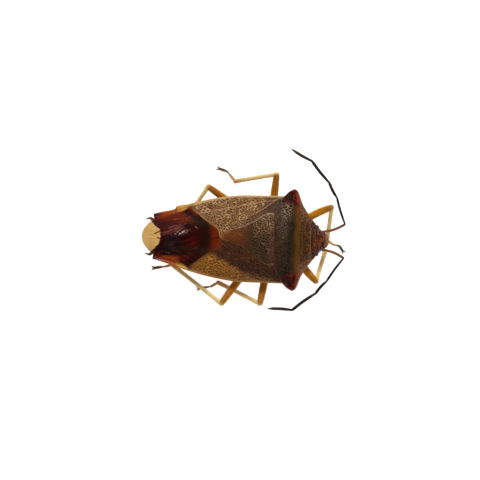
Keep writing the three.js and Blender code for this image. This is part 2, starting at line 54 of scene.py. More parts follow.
# Driving sizes, the same as in the solids
HEAD_TIP_X = 7.45
WING_TIP_X = -7.55
SHOULDER_HALF = 4.08
SHOULDER_X = 4.55
SCUTELLUM_FRONT_X = 3.1
SCUTELLUM_TIP_X = -1.33
ABDOMEN_REAR_X = -6.65
CORIUM_THICK = 0.16
MEMBRANE_THICK = 0.03
ARCH_POWER = 2.4

# Where the animal stands in the row's frame, read from the solids
head_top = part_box("head")[1]
pronotum_low, pronotum_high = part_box("pronotum")
middle_y = (pronotum_low.y + pronotum_high.y) / 2
ORIGIN = np.array([head_top.x * PER_METRE - HEAD_TIP_X, middle_y * PER_METRE, 0.0])


def put(points):
    """Millimetres of the animal's frame as metres of the row's frame."""
    return (np.asarray(points, float) + ORIGIN) / PER_METRE


def curve(points):
    """A smooth curve through (x, y) points, x rising, that never overshoots them and is flat beyond them."""
    xs, ys = np.array(points, float).T
    slope = np.diff(ys) / np.diff(xs)
    product = slope[:-1] * slope[1:]
    total = np.where(product > 0, slope[:-1] + slope[1:], 1.0)
    inner = np.where(product > 0, 2 * product / total, 0.0)
    tangent = np.concatenate([slope[:1], inner, slope[-1:]])

    def at(x):
        x = np.clip(x, xs[0], xs[-1])
        i = np.clip(np.searchsorted(xs, x, side="right") - 1, 0, len(xs) - 2)
        h = xs[i + 1] - xs[i]
        t = (x - xs[i]) / h
        ends = ys[i] * (1 + 2 * t) * (1 - t) ** 2 + ys[i + 1] * t * t * (3 - 2 * t)
        bends = tangent[i] * h * t * (1 - t) ** 2 - tangent[i + 1] * h * t * t * (1 - t)
        return ends + bends

    return at


def smooth(low, high, x):
    """A soft step from 0 at low to 1 at high, whichever of the two is the larger."""
    t = np.clip((x - low) / (high - low), 0, 1)
    return t * t * (3 - 2 * t)


def mix(a, b, t):
    return a + (b - a) * t


def bump(x, centre, width):
    """A soft hump of height 1 about centre."""
    return np.exp(-(((x - centre) / width) ** 2))


def colour(code):
    """A web colour as linear red, green and blue."""
    parts = np.array([int(code[i : i + 2], 16) for i in (1, 3, 5)]) / 255
    return np.where(parts <= 0.04045, parts / 12.92, ((parts + 0.055) / 1.055) ** 2.4)


def side_of(y):
    """+1 on the animal's left and -1 on its right."""
    return np.where(y > 0, 1.0, -1.0)


def blend(under, over, share):
    """One colour laid over another, by a share for each place; both are web colours or come from here."""
    under, over = (colour(c) if isinstance(c, str) else c for c in (under, over))
    return mix(under, over, np.asarray(share)[..., None])


def paint(ground, *coats):
    """Several colours laid on in turn: each coat is a colour with its share for each place."""
    for over, share in coats:
        ground = blend(ground, over, share)
    return ground


LATTICE = 128


def mottle(x, y, cell, seed):
    """Soft random values from 0 to 1 over the plan, each cell millimetres wide."""
    table = np.random.default_rng(seed).random((LATTICE, LATTICE))
    i = np.floor(x / cell).astype(int)
    j = np.floor(y / cell).astype(int)
    tx = smooth(0, 1, x / cell - i)
    ty = smooth(0, 1, y / cell - j)
    corner = lambda a, b: table[(i + a) % LATTICE, (j + b) % LATTICE]
    return mix(mix(corner(0, 0), corner(1, 0), tx), mix(corner(0, 1), corner(1, 1), tx), ty)


def cells(x, y, spacing, seed, jitter=0.3):
    """Spots strewn over the plan, one to a cell: how far each place lies from the nearest spot, and how much
    farther from the next one, both in millimetres."""
    draw = np.random.default_rng(seed)
    shift = (draw.random((2, LATTICE, LATTICE)) - 0.5) * 2 * jitter
    i = np.floor(x / spacing).astype(int)
    j = np.floor(y / spacing).astype(int)
    nearest = np.full(np.broadcast(x, y).shape, 9.0)
    second = nearest.copy()
    for a in (i - 1, i, i + 1):
        for b in (j - 1, j, j + 1):
            cell = (a % LATTICE, b % LATTICE)
            spot_x = (a + 0.5 + shift[0][cell] + 0.25 * (b % 2)) * spacing
            spot_y = (b + 0.5 + shift[1][cell]) * spacing
            distance = np.hypot(x - spot_x, y - spot_y)
            second = np.minimum(second, np.maximum(nearest, distance))
            nearest = np.minimum(nearest, distance)
    return nearest, second - nearest


def pits(x, y, spacing, radius, seed, jitter=0.3):
    """How deep in a pit each place of the plan lies: 0 on the ground between pits, 1 at the bottom of one."""
    nearest, _ = cells(x, y, spacing, seed, jitter)
    return smooth(radius * (0.75 + 0.5 * mottle(x, y, spacing, seed)), 0.4 * radius, nearest)


def network(x, y, spacing, seed, width=0.05):
    """A net of fine wavy lines over the plan: 1 on a line and 0 inside its meshes."""
    warp = 0.3 * (mottle(x, y, 0.4, 18) - 0.5)
    _, apart = cells(0.75 * x + 0.35 * y + warp, 0.95 * y - 0.3 * x - warp, spacing, seed, 0.46)
    return smooth(width, 0.1 * width, apart)


def stroke(x, y, start, end, width):
    """A soft line from start to end, of height 1 along its middle and fading towards both ends."""
    ahead = np.subtract(end, start)
    share = ((x - start[0]) * ahead[0] + (y - start[1]) * ahead[1]) / (ahead @ ahead)
    along = np.clip(share, 0, 1)
    distance = np.hypot(x - start[0] - along * ahead[0], y - start[1] - along * ahead[1])
    return bump(distance, 0, width) * smooth(-0.1, 0.25, share) * smooth(1.1, 0.75, share)


# Meshes


def grid_faces(rows, columns, closed=False):
    """Quads of a grid of rows x columns points; a closed grid joins its last column to its first."""
    i = np.arange(rows - 1)[:, None]
    j = np.arange(columns if closed else columns - 1)[None, :]
    a = i * columns + j
    b = i * columns + (j + 1) % columns
    return np.stack([a, b, b + columns, a + columns], -1).reshape(-1, 4)


def face_outwards(mesh):
    """Turns the faces of a closed mesh round if they all look inwards."""
    draft = bmesh.new()
    draft.from_mesh(mesh)
    if draft.calc_volume(signed=True) < 0:
        mesh.flip_normals()
    draft.free()


def piece(name, points, faces, material, nodes=(), tint=None, clear=None):
    """A mesh object that rides on the body and stands for the named solids."""
    mesh = bpy.data.meshes.new(name)
    mesh.from_pydata(put(points).tolist(), [], [list(f) for f in faces])
    mesh.shade_smooth()
    for key, values in (("tint", tint), ("clear", clear)):
        if values is None:
            continue
        kind, field, width = ("FLOAT_COLOR", "color", 4) if key == "tint" else ("FLOAT", "value", 1)
        data = np.ones((len(points), width), np.float32)
        data[:, : np.shape(values)[-1] if key == "tint" else 1] = np.reshape(values, (len(points), -1))
        mesh.attributes.new(key, kind, "POINT").data.foreach_set(field, data.ravel())
    face_outwards(mesh)
    obj = bpy.data.objects.new(name, mesh)
    bpy.context.scene.collection.objects.link(obj)
    mesh.materials.append(material)
    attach(obj, "root")
    if nodes:
        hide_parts(*nodes)


def plate(name, place, surface, thickness, rim, counts, material, nodes=()):
    """A thin closed shell over the plan place(u, v). surface(x, y) gives height, relief, tint and clearness.

    The shell thins out to nothing along its outline, within a margin of rim millimetres."""
    rows, columns = counts
    u = np.linspace(0, 1, rows)[:, None]
    v = np.linspace(0, 1, columns)[None, :]
    x, y = np.broadcast_arrays(*place(u, v))
    across = np.hypot(x[:, -1:] - x[:, :1], y[:, -1:] - y[:, :1])
    along = np.hypot(x[-1:] - x[:1], y[-1:] - y[:1])
    inset = np.minimum(np.minimum(v, 1 - v) * across, np.minimum(u, 1 - u) * along)
    share = np.minimum(1, inset / rim)
    fullness = np.sqrt(np.maximum(0, 1 - (1 - share) ** 2))
    height, relief, tint, clear = surface(x, y)
    half = thickness / 2
    top = height - half + half * fullness + relief * fullness
    low = height - half - half * fullness
    edge = np.zeros(x.shape, bool)
    edge[0] = edge[-1] = True
    edge[:, 0] = edge[:, -1] = True
    number = np.arange(rows * columns).reshape(rows, columns)
    inner = ~edge
    below = number.copy()
    below[inner] = rows * columns + np.arange(inner.sum())
    points = np.concatenate([np.stack([x, y, top], -1).reshape(-1, 3), np.stack([x, y, low], -1)[inner]])
    quads = grid_faces(rows, columns)
    faces = np.concatenate([quads, below.ravel()[quads][:, ::-1]])
    tints = np.concatenate([tint.reshape(-1, 3), tint[inner]])
    clears = None if clear is None else np.concatenate([clear.ravel(), clear[inner]])
    piece(name, points, faces, material, nodes, tints, clears)


def loft(name, rings, material, tint=None, nodes=()):
    """A closed body through rings of points, an array of rings x points x 3, with a cap on each end."""
    rows, columns, _ = rings.shape
    points = np.concatenate([rings.reshape(-1, 3), rings[:1].mean(1), rings[-1:].mean(1)])
    faces = grid_faces(rows, columns, closed=True).tolist()
    last = (rows - 1) * columns
    for j in range(columns):
        k = (j + 1) % columns
        faces.append([k, j, rows * columns])
        faces.append([last + j, last + k, rows * columns + 1])
    tints = None
    if tint is not None:
        tints = np.concatenate([tint.reshape(-1, 3), tint[:1].mean(1), tint[-1:].mean(1)])
    piece(name, points, faces, material, nodes, tints)


def through(points, count):
    """A smooth line of count points through the given ones."""
    points = np.array(points, float)
    steps = np.linalg.norm(np.diff(points, axis=0), axis=1)
    at = np.concatenate([[0], np.cumsum(steps)])
    t = np.linspace(0, at[-1], count)
    return np.stack([curve(list(zip(at, points[:, k])))(t) for k in range(points.shape[1])], -1)


def tube_rings(path, radii, sides=20, flatten=1.0):
    """Rings of a round limb along a path, with a rounded end; flatten squeezes it upwards and downwards."""
    radii = np.broadcast_to(radii, len(path))
    direction = np.gradient(path, axis=0)
    direction /= np.linalg.norm(direction, axis=1)[:, None]
    caps = np.linspace(0, math.pi / 2, 5)[1:]
    start = [path[0] - direction[0] * radii[0] * math.sin(a) for a in caps[::-1]]
    end = [path[-1] + direction[-1] * radii[-1] * math.sin(a) for a in caps]
    centres = np.concatenate([start, path, end])
    directions = np.concatenate([[direction[0]] * 4, direction, [direction[-1]] * 4])
    small = np.maximum(np.cos(caps), 0.02)
    sizes = np.concatenate([radii[0] * small[::-1], radii, radii[-1] * small])
    side = np.cross(directions, (0, 0, 1))
    side /= np.maximum(np.linalg.norm(side, axis=1), 1e-9)[:, None]
    above = np.cross(side, directions)
    angle = np.linspace(0, 2 * math.pi, sides, endpoint=False)
    spread = side[:, None] * np.cos(angle)[None, :, None]
    spread = spread + above[:, None] * np.sin(angle)[None, :, None] * flatten
    return centres[:, None] + spread * sizes[:, None, None]


def along_tint(rings, stops):
    """Colours for the rings of a tube, changing along it: stops are (share of its length, colour)."""
    middle = rings.mean(1)
    steps = np.linalg.norm(np.diff(middle, axis=0), axis=1)
    share = np.concatenate([[0], np.cumsum(steps)])
    share /= share[-1]
    at = [s for s, _ in stops]
    parts = [np.interp(share, at, [colour(c)[k] for _, c in stops]) for k in range(3)]
    return np.broadcast_to(np.stack(parts, -1)[:, None], rings.shape)


def lit_sides(rings, tint, edge, share):
    """A limb's colours with a paler one along both of its sides, strongest at the very edge: painted light
    shining through the limb's thin edges.
    """
    angle = np.linspace(0, 2 * math.pi, rings.shape[1], endpoint=False)
    share = share * smooth(0.55, 0.95, np.abs(np.cos(angle)))
    return blend(tint, edge, share)


def tube(name, path, radii, sides, material, stops=None, nodes=(), flatten=1.0, edge=None):
    """A round limb along a path, coloured along it by stops, and along its sides by edge: (colour, share),
    painted light through its thin sides.
    """
    rings = tube_rings(path, radii, sides, flatten)
    tint = None if stops is None else along_tint(rings, stops)
    if edge:
        tint = lit_sides(rings, tint, *edge)
    loft(name, rings, material, tint, nodes)


def widths(stops, count):
    """Radii of a limb at count places, from stops of (share of its length, radius)."""
    at, sizes = zip(*stops)
    return np.interp(np.linspace(0, 1, count), at, sizes)


# Materials


GLEAM = (1.0, 0.75, 0.55, 1)  # colour of what the shell reflects
COAT_ROUGHNESS = 0.12
SCATTER_REACH = (1.0, 0.45, 0.15)  # red light goes deepest into a limb
SCATTER_DEPTH = 0.00025  # metres
DENT_DEPTH = 0.00006  # metres


def fill(node, values):
    """Gives a shader node's inputs their values."""
    for key, value in values.items():
        node.inputs[key].default_value = value
    return node


def cuticle(
    name, roughness, grain=0.25, grain_size=18, dents=0.1, dent_size=9, coat=0.0, base=None, scatter=0.0,
    see_through=False, specular=0.5,
):
    """Insect shell: the piece's own tint, or one base colour, with a fine grain and shallow dents.

    grain_size and dent_size are the number of spots in a millimetre."""
    material = bpy.data.materials.new(name)
    material.use_nodes = True
    nodes, links = material.node_tree.nodes, material.node_tree.links
    place = nodes.new("ShaderNodeTexCoord").outputs["Object"]

    def noise(size, detail):
        node = fill(nodes.new("ShaderNodeTexNoise"), {"Scale": size * PER_METRE, "Detail": detail})
        links.new(place, node.inputs["Vector"])
        return node.outputs["Fac"]

    def own(key, output):
        """The piece's own values under this name."""
        node = nodes.new("ShaderNodeAttribute")
        node.attribute_name = key
        return node.outputs[output]

    coats = {"Coat Weight": coat, "Coat Roughness": COAT_ROUGHNESS}
    gloss = {"Roughness": roughness, "Specular IOR Level": specular, "Specular Tint": GLEAM}
    shader = fill(nodes["Principled BSDF"], {**coats, **gloss})
    if scatter:
        depth = {"Subsurface Radius": SCATTER_REACH, "Subsurface Scale": SCATTER_DEPTH}
        fill(shader, {"Subsurface Weight": scatter, **depth})
    spread = fill(nodes.new("ShaderNodeMapRange"), {"To Min": 1 - grain, "To Max": 1 + grain})
    links.new(noise(grain_size, 3), spread.inputs["Value"])
    tone = nodes.new("ShaderNodeMix")
    tone.data_type = "RGBA"
    tone.blend_type = "MULTIPLY"
    fill(tone, {"Factor": 1})
    if base is None:
        links.new(own("tint", "Color"), tone.inputs["A"])
    else:
        fill(tone, {"A": (*colour(base), 1)})
    links.new(spread.outputs["Result"], tone.inputs["B"])
    links.new(tone.outputs["Result"], shader.inputs["Base Color"])
    dent = fill(nodes.new("ShaderNodeBump"), {"Strength": dents, "Distance": DENT_DEPTH})
    links.new(noise(dent_size, 2), dent.inputs["Height"])
    links.new(dent.outputs["Normal"], shader.inputs["Normal"])
    if see_through:
        links.new(own("clear", "Fac"), shader.inputs["Alpha"])
    return material


shell = cuticle("pitted shell", 0.36, specular=0.16)
horn = cuticle("under shell", 0.4, scatter=0.1, specular=0.2)
glossy = cuticle("glossy shell", 0.25, coat=0.1, specular=0.2)
membrane_skin = cuticle(
    "wing membrane", 0.2, grain=0.12, grain_size=9, dents=0.05, dent_size=2, specular=0.2, see_through=True
)
limb_skin = cuticle("limb", 0.36, grain=0.16, grain_size=7, dents=0.15, scatter=0.5, specular=0.16)
feeler_skin = cuticle("feeler", 0.5, grain=0.3, grain_size=30, dents=0.5, dent_size=30, specular=0.2)
eye_skin = cuticle("eye", 0.3, grain=0.1, dents=0.5, dent_size=28, specular=0.3)
claw_skin = cuticle("claw", 0.3, base="#2b1a12")
hair_skin = cuticle("hair", 0.5, base="#b08a4a", grain=0.1, dents=0)

# The back as a whole: outline from above, height along the middle and along the edge

body_half = curve(
    [
        (ABDOMEN_REAR_X, 1.8), (-5.6, 2.1), (-4.6, 2.42), (-3.7, 2.7), (-2.4, 3.04), (-0.8, 3.34),
        (0.4, 3.47), (3.7, 3.5),
    ]
)
back_middle = curve(
    [(-7.55, 3.66), (-6.4, 3.95), (-4, 4.3), (-1.33, 4.66), (1, 5.0), (2.74, 5.2), (3.6, 5.24)]
)
back_edge = curve([(-7.55, 3.35), (-6, 3.25), (-4, 3.25), (-1, 3.4), (1.5, 3.6), (3.7, 4.05)])


def back(x, y):
    """Height of the arched back over a place of the plan."""
    share = np.minimum(1, np.abs(y) / body_half(x))
    return mix(back_middle(x), back_edge(x), share**ARCH_POWER)


# Pronotum

pronotum_front = curve(
    [
        (0, 6.02), (0.8, 6.05), (0.98, 6.1), (1.12, 6.24), (1.3, 6.36), (1.6, 6.13), (1.95, 5.87),
        (2.4, 5.56), (2.85, 5.29), (3.3, 5.11), (3.75, 4.94), (3.98, 4.78), (SHOULDER_HALF, SHOULDER_X),
    ]
)
pronotum_rear = curve(
    [
        (0, 2.95), (1.6, 2.95), (2.2, 3.03), (2.8, 3.32), (3.3, 3.62), (3.55, 3.84), (3.85, 4.14),
        (SHOULDER_HALF, SHOULDER_X),
    ]
)
pronotum_half = curve(
    [
        (3.0, 3.5), (3.85, 3.54), (SHOULDER_X, SHOULDER_HALF), (4.94, 3.75), (5.25, 2.85), (5.84, 1.95),
        (6.14, 1.4),
    ]
)
pronotum_middle = curve([(2.9, 5.3), (3.8, 5.27), (4.6, 5.03), (5.3, 4.6), (6.1, 4.02)])
pronotum_edge = curve([(2.9, 4.05), (3.7, 4.27), (SHOULDER_X, 4.72), (5.0, 4.42), (5.5, 3.84), (6.1, 3.52)])


def pronotum_height(x, y):
    """Height of the front shield, which slopes down towards the head and out to the horns."""
    share = np.minimum(1, np.abs(y) / pronotum_half(x))
    return mix(pronotum_middle(x), pronotum_edge(x), share**ARCH_POWER)


def pronotum_surface(x, y):
    out = np.abs(y)
    to_front = pronotum_front(out) - x
    to_rear = x - pronotum_rear(out)
    horns = smooth(3.15, 3.75, out) * smooth(3.3, 3.8, x)
    ridges = network(x, y, 0.17, 3, 0.06)
    rear_pits = (1 - ridges) * smooth(0.1, 0.25, to_rear) * smooth(4.7, 4.2, x)
    front_pits = pits(0.8 * x, y, 0.2, 0.1, 4) * smooth(4.85, 5.2, x) * smooth(0.05, 0.14, to_front)
    callus = bump(x, 5.72, 0.15) * bump(out, 1.15, 0.25)
    pit = np.maximum(0.7 * rear_pits, front_pits) * (1 - 0.75 * horns) * (1 - 0.6 * callus)
    waves = mottle(x * 2.2, y, 0.55, 5)
    blotch = mottle(x, y, 0.4, 9)
    relief = -0.05 * pit + 0.05 * callus + 0.02 * (waves - 0.5) - 0.015 * bump(x, 4.95, 0.2)
    relief = relief + 0.05 * bump(to_front, 0.1, 0.07) * smooth(1.4, 2.0, out) + 0.05 * horns * (blotch - 0.5)
    # Dark rear half, darkest in a band about x = 4.25, then olive, ochre and brown towards the head: the
    # shield's own colours, with the dark band partly painted shade
    tint = paint(
        blend("#241308", "#170d05", smooth(3.3, 3.7, x)),
        ("#46311a", 0.4 * ridges * smooth(0.1, 0.25, to_rear)),
        ("#1a100c", bump(x, 4.25, 0.22)),
        ("#2e200c", smooth(4.3, 4.65, x + 0.3 * (waves - 0.5))),
        ("#52320e", smooth(4.55, 4.95, x + 0.3 * (waves - 0.5))),
        ("#40220a", smooth(4.95, 5.4, x + 0.3 * (blotch - 0.5))),
        ("#78440e", smooth(0.9, 0.1, to_front) * 0.85 * smooth(1.0, 1.7, out)),
        ("#6c4420", 0.5 * smooth(0.5, 0.8, mottle(x, y, 0.14, 19)) * smooth(5.0, 5.3, x)),
        ("#7c5634", 0.6 * bump(to_front, 0.08, 0.06) * smooth(1.1, 0.9, out)),
        ("#241416", 0.85 * callus * np.where(y > 0, 1, 0.7)),
        ("#1c1012", 0.7 * bump(x, 6.05, 0.16) * bump(y, 1.3, 0.14)),
    )
    # Pale squiggles on the left slope behind the horn, fainter towards the middle: painted sheen of the light
    # on the pitted shell, with a little relief under them
    worms = network(x + 0.3 * y, y - 0.2 * x, 0.22, 15, 0.07)
    painted_sheen = 0.8 * bump(x, 3.95, 0.35) * bump(y, 2.3, 0.7) + 0.15 * bump(x, 3.9, 0.35) * bump(y, 0.7, 0.8)
    tint = blend(tint, "#b89a80", np.clip(painted_sheen, 0, 0.8) * worms)
    relief = relief + 0.02 * painted_sheen * worms
    tint = blend(tint, "#54301c", 0.8 * bump(to_rear, 0.05, 0.07) * smooth(3.0, 2.4, out))
    red = smooth(2.65, 3.05, out + 0.3 * (x - 4.2) + 0.3 * (blotch - 0.5)) * smooth(3.3, 3.8, x)
    deep = blend("#280404", "#580c0c", smooth(0.4, 0.75, blotch + 0.05 * side_of(y)))
    deep = blend(deep, "#743410", smooth(0.5, 0.15, to_front + 0.3 * (waves - 0.5)) * smooth(4.0, 3.6, out))
    tint = blend(tint, deep, red)
    tint = blend(tint, "#120904", 0.75 * pit)
    return pronotum_height(x, y), relief, tint, None


HORN_CUT = 0.998  # the horns end this share of the way out, so that no face at their tips has zero width


def pronotum_place(u, v):
    y = HORN_CUT * SHOULDER_HALF * np.sin((u - 0.5) * math.pi)
    return mix(pronotum_rear(np.abs(y)), pronotum_front(np.abs(y)), v), y + 0 * v


plate(
    "pronotum_shell", pronotum_place, pronotum_surface, thickness=0.3, rim=0.14, counts=(340, 130),
    material=shell, nodes=["pronotum"],
)

# Scutellum

scutellum_half = curve(
    [
        (SCUTELLUM_TIP_X, 0.05), (-1.2, 0.19), (-0.5, 0.48), (0.55, 0.88), (1.4, 1.42), (2.2, 1.98),
        (2.6, 2.12), (SCUTELLUM_FRONT_X, 2.12),
    ]
)
# It lies a little askew: the right wing covers more of its edge than the left one
scutellum_line = curve(
    [(SCUTELLUM_TIP_X, 0.06), (-0.5, 0.17), (0.55, 0.14), (1.6, 0.03), (SCUTELLUM_FRONT_X, 0)]
)


def scutellum_surface(x, y):
    across = (y - scutellum_line(x)) / scutellum_half(x)
    share = np.abs(across)
    front = smooth(0.6, 1.7, x)
    ridges = network(x, y, 0.18, 7, 0.06)
    pit = (1 - ridges) * smooth(1.0, 0.9, share) * smooth(-0.9, -0.4, x) * mix(0.4, 1, front)
    swell = 0.07 * (1 - share**2)
    waves = mottle(x, y, 0.5, 8)
    edge_line = bump(share, 0.95, 0.04) * np.where(across > 0, 1, 0.15)
    relief = -0.05 * pit + 0.03 * (waves - 0.5) + 0.03 * edge_line
    tint = paint(
        blend("#50280c", "#3c1f0b", smooth(0.0, 1.1, x + 0.8 * (waves - 0.5))),
        ("#6c320f", 0.8 * bump(x, -0.1, 0.7) * bump(across, 0.2, 0.5)),
        ("#2c1a0b", smooth(0.7, 1.5, x + 0.5 * (waves - 0.5))),
        ("#48261a", bump(x, 2.75, 0.25) * smooth(0.55, 0.1, across)),
    )
    pale = 0.15 + 0.65 * smooth(1.0, 1.8, x) * smooth(-0.05, 0.75, across + 0.8 * (waves - 0.5))
    tint = paint(
        tint,
        ("#94724c", pale * ridges * front),
        ("#8a5a30", smooth(-0.9, -1.2, x) * 0.7),
        ("#9c7c5c", 0.7 * edge_line * smooth(-0.6, 0.4, x)),
        ("#7a5030", 0.8 * bump(share, 0.85, 0.2) * smooth(-0.3, -0.8, x)),
        ("#150b04", 0.65 * pit),
    )
    return back(x, y) + 0.02 + swell, relief, tint, None


def scutellum_place(u, v):
    x = mix(SCUTELLUM_TIP_X, SCUTELLUM_FRONT_X, u)
    return x + 0 * v, scutellum_line(x) + mix(-1, 1, v) * scutellum_half(x)


plate(
    "scutellum_shell", scutellum_place, scutellum_surface, thickness=0.22, rim=0.1, counts=(190, 190),
    material=shell, nodes=["scutellum"],
)

# Fore wings: the leathery part in front, and the clear membrane behind it

wing_inset = curve(
    [(-6.4, 0.42), (-4.3, 0.4), (-3.85, 0.22), (-3.3, 0.08), (-2.6, 0.02), (-1.5, 0.0), (0.5, 0)]
)
wing_tip_half = curve(
    [(WING_TIP_X, 0.05), (-7.48, 0.42), (-7.2, 0.88), (-6.86, 1.22), (-6.4, 1.46), (-6.0, 1.58)]
)


def wing_outer(x):
    """How far out the wings reach: along the body's edge, and round their own tip behind it."""
    return np.where(x < -6, wing_tip_half(x), np.maximum(body_half(x) - wing_inset(x), 1.58))


WING_UNDER = 0.06


def corium_inner(side):
    """The inner edge of a wing's leathery part: just under the scutellum's edge, then out to the shoulder."""

    def at(x):
        beside = side * scutellum_line(x) + (scutellum_half(x) - WING_UNDER) * smooth(-1.45, -1.2, x)
        return np.maximum(beside, 2.6 * smooth(2.7, 3.9, x))

    return at


membrane_start = curve([(0, -1.42), (0.5, -1.5), (1.35, -2.5), (2.1, -3.5), (2.4, -3.9)])
claval_line = curve([(-1.4, 0.1), (-0.9, 0.5), (2.23, 2.47), (3.35, 3.31)])
amber_line = curve([(-3.9, 0.3), (-2.45, 1.05), (-1, 1.83), (0.2, 2.38), (0.6, 2.78), (2, 3.08), (3.4, 3.6)])
vein_line = curve([(-3.4, 1.9), (-1.5, 2.25), (1.0, 2.75), (3.4, 3.25)])


def corium_place(side):
    def place(u, v):
        rear = mix(-1.45, -3.9, v)
        for _ in range(6):
            rear = membrane_start(mix(corium_inner(side)(rear), wing_outer(rear), v))
        x = mix(rear, 3.88, u)
        return x, side * mix(corium_inner(side)(x), wing_outer(x), v)

    return place


def corium_surface(side):
    def surface(x, y):
        out = side * y
        edge = wing_outer(x) - out
        inner = out - corium_inner(side)(x)
        behind = x - membrane_start(out)
        from_claval = out - claval_line(x)
        from_vein = out - vein_line(x)
        claval_ridge = bump(from_claval, 0.03, 0.04) * smooth(0.5, 2.0, x)
        hind_ridges = 0.5 + 0.5 * np.cos(2 * math.pi * behind / 0.2 + 4 * mottle(x, y, 0.6, 17))
        hind_ridges = hind_ridges * smooth(0.5, 0.3, behind) * smooth(0, 0.06, behind)
        # the smooth pale lines show twice as strongly on the left wing, which faces the key lamp: partly
        # painted sheen
        smooth_lines = (0.7 if side > 0 else 0.35) * np.maximum(claval_ridge, 0.5 * bump(from_vein, 0, 0.04))
        free = (1 - smooth_lines) * smooth(0.1, 0.2, edge) * smooth(0.03, 0.08, inner)
        pit = (1 - network(x, y, 0.19, 11 + side)) * free
        pit = mix(pit, 1 - hind_ridges, smooth(0.5, 0.3, behind))
        waves = mottle(x, y, 0.35, 13 + side)
        groove = bump(from_claval, -0.05, 0.05)
        relief = -0.05 * pit + 0.02 * smooth_lines - 0.04 * groove + 0.02 * (waves - 0.5)
        relief = relief + 0.03 * bump(edge, 0.05, 0.05)
        front = smooth(1.6, 3.2, x + 0.6 * (waves - 0.5))
        # The left wing faces the key lamp: its paler, pinker tints are partly painted sheen, and the right
        # wing's darker tints partly painted shade
        if side > 0:
            tint = blend("#b48a5e", "#94693f", smooth(0.3, 0.8, waves))
            tint = blend(tint, "#6c4e3c", front)
            tint = blend(tint, "#5a4034", 0.75 * smooth(0.1, -0.1, from_claval) * smooth(-0.6, 1.2, x))
            dark = blend("#3c2210", "#2c1c14", front)
            line_tint = "#a8846a"
        else:
            amber = smooth(-0.3, 0.3, out - amber_line(x) + 0.3 * (waves - 0.5))
            tint = paint(
                blend("#502a16", "#3e1c0e", smooth(0.3, 0.8, waves)),
                ("#482812", front),
                ("#64280a", smooth(-0.8, -2.2, x) * 0.8),
                (blend("#a4702c", "#8c6438", smooth(-1.0, 1.5, x)), amber),
            )
            dark = blend("#2a140a", "#5c340c", amber)
            line_tint = "#543420"
        tint = blend(tint, dark, 0.9 * pit)
        if side < 0:
            tint = blend(tint, "#3a1c0a", 0.85 * smooth(0.5, 0.0, behind))
            corner = smooth(0.9, 0.1, behind) * smooth(1.3, 0.6, out) * smooth(-0.8, -1.5, x)
            tint = blend(tint, "#62200c", corner)
        # the left wing's paler lines and edge are partly painted sheen as well
        tint = paint(
            tint,
            (line_tint, 0.7 * smooth_lines),
            ("#a08a58" if side > 0 else "#8a6430", smooth(0.15, 0.08, edge)),
            ("#3c220e", 0.9 * bump(x, -3.7, 0.25) * bump(out, 2.4, 0.35)),
        )
        return back(x, y) - 0.12 * smooth(2.7, 3.3, x) - 0.1 * smooth(3.5, 3.8, x), relief, tint, None

    return surface


# The rear edge of the belly's last ring and of the capsule, from the middle outwards
notch = curve([(0, -6.04), (0.5, -6.1), (0.8, -6.4), (1.1, -6.68), (1.3, -6.9), (1.5, -7.1)])

STREAK_SLOPE = 0.33  # of the fine creases, which run forwards and outwards on the left


def sheaf(count=18, seed=71):
    """Fine creases side by side behind the left wing's crumpled spot, each from its rear end to its front;
    they carry painted highlights.
    """
    draw = np.random.default_rng(seed)
    lines = []
    for _ in range(count):
        front = draw.uniform(-5.0, -4.0)
        length = draw.uniform(0.4, 1.4)
        level = draw.uniform(0.55, 1.15) + STREAK_SLOPE * (front + 4.3)
        lines.append(((front - length, level - STREAK_SLOPE * length), (front, level)))
    return lines


# Creases of the membranes, raised a little and painted with highlights, each from one place of the plan to
# another
CREASES_AND_GLINTS = sheaf() + [
    ((-6.05, -1.15), (-5.1, -1.34)),
    ((-5.25, -0.98), (-4.45, -1.18)),
    ((-3.35, 0.87), (-2.95, 0.63)),
    ((-5.1, 1.4), (-4.2, 1.5)),
]
# Dark teeth of the capsule in the notch
TEETH = [((-5.95, 0.5), (-6.63, 0.17)), ((-5.95, -0.22), (-6.36, -0.05))]


def hind_tint(x, y):
    """The dark, blotched colours seen through the membranes and on the back of the belly below them."""
    out = np.abs(y)
    behind = membrane_start(out) - x
    waves = mottle(x, y, 0.7, 27)
    tint = paint(
        blend("#2c0907", "#190507", smooth(0.3, 0.7, waves)),
        ("#480706", 0.9 * bump(x, -3.35, 0.4) * bump(y, -0.4, 0.4)),
        ("#4a0a08", 0.9 * bump(x, -3.7, 0.6) * bump(y, -1.5, 0.35)),
        ("#431a1c", 0.8 * smooth(-4.0, -4.6, x) * bump(y, 0.85, 0.5)),
        ("#66200c", smooth(1.05, 1.45, y + 0.4 * (waves - 0.5)) * smooth(-2.9, -3.4, x)),
        ("#541008", smooth(-1.25, -1.6, y + 0.4 * (waves - 0.5)) * smooth(-3.4, -4.2, x)),
        ("#9c3f10", smooth(-6.1, -5.7, x) * smooth(-4.3, -4.9, x) * smooth(1.4, 1.65, -y)),
        ("#06121c", 0.9 * bump(x, -5.2, 0.35) * bump(y, -0.15, 0.28)),
        ("#080c18", 0.8 * bump(x, -5.35, 0.25) * bump(y, -0.85, 0.22)),
    )
    arc = bump(behind, 0.55, 0.45) * smooth(-0.1, 0.35, behind)
    arc = np.maximum(arc, bump(x, -2.5, 0.3) * smooth(1.5, 1.0, out))
    tint = blend(tint, "#1e0e07", arc * mix(0.6, 1, smooth(-1.5, 0.5, y)))
    base = smooth(-2.5, -1.75, x + 0.4 * (waves - 0.5)) * smooth(1.5, 0.8, out)
    return blend(tint, "#6a200c", base)


# Veins of a membrane, by their share of the way from its inner edge to its outer one
VEINS = [0.16, 0.29, 0.42, 0.55, 0.68, 0.8, 0.9]


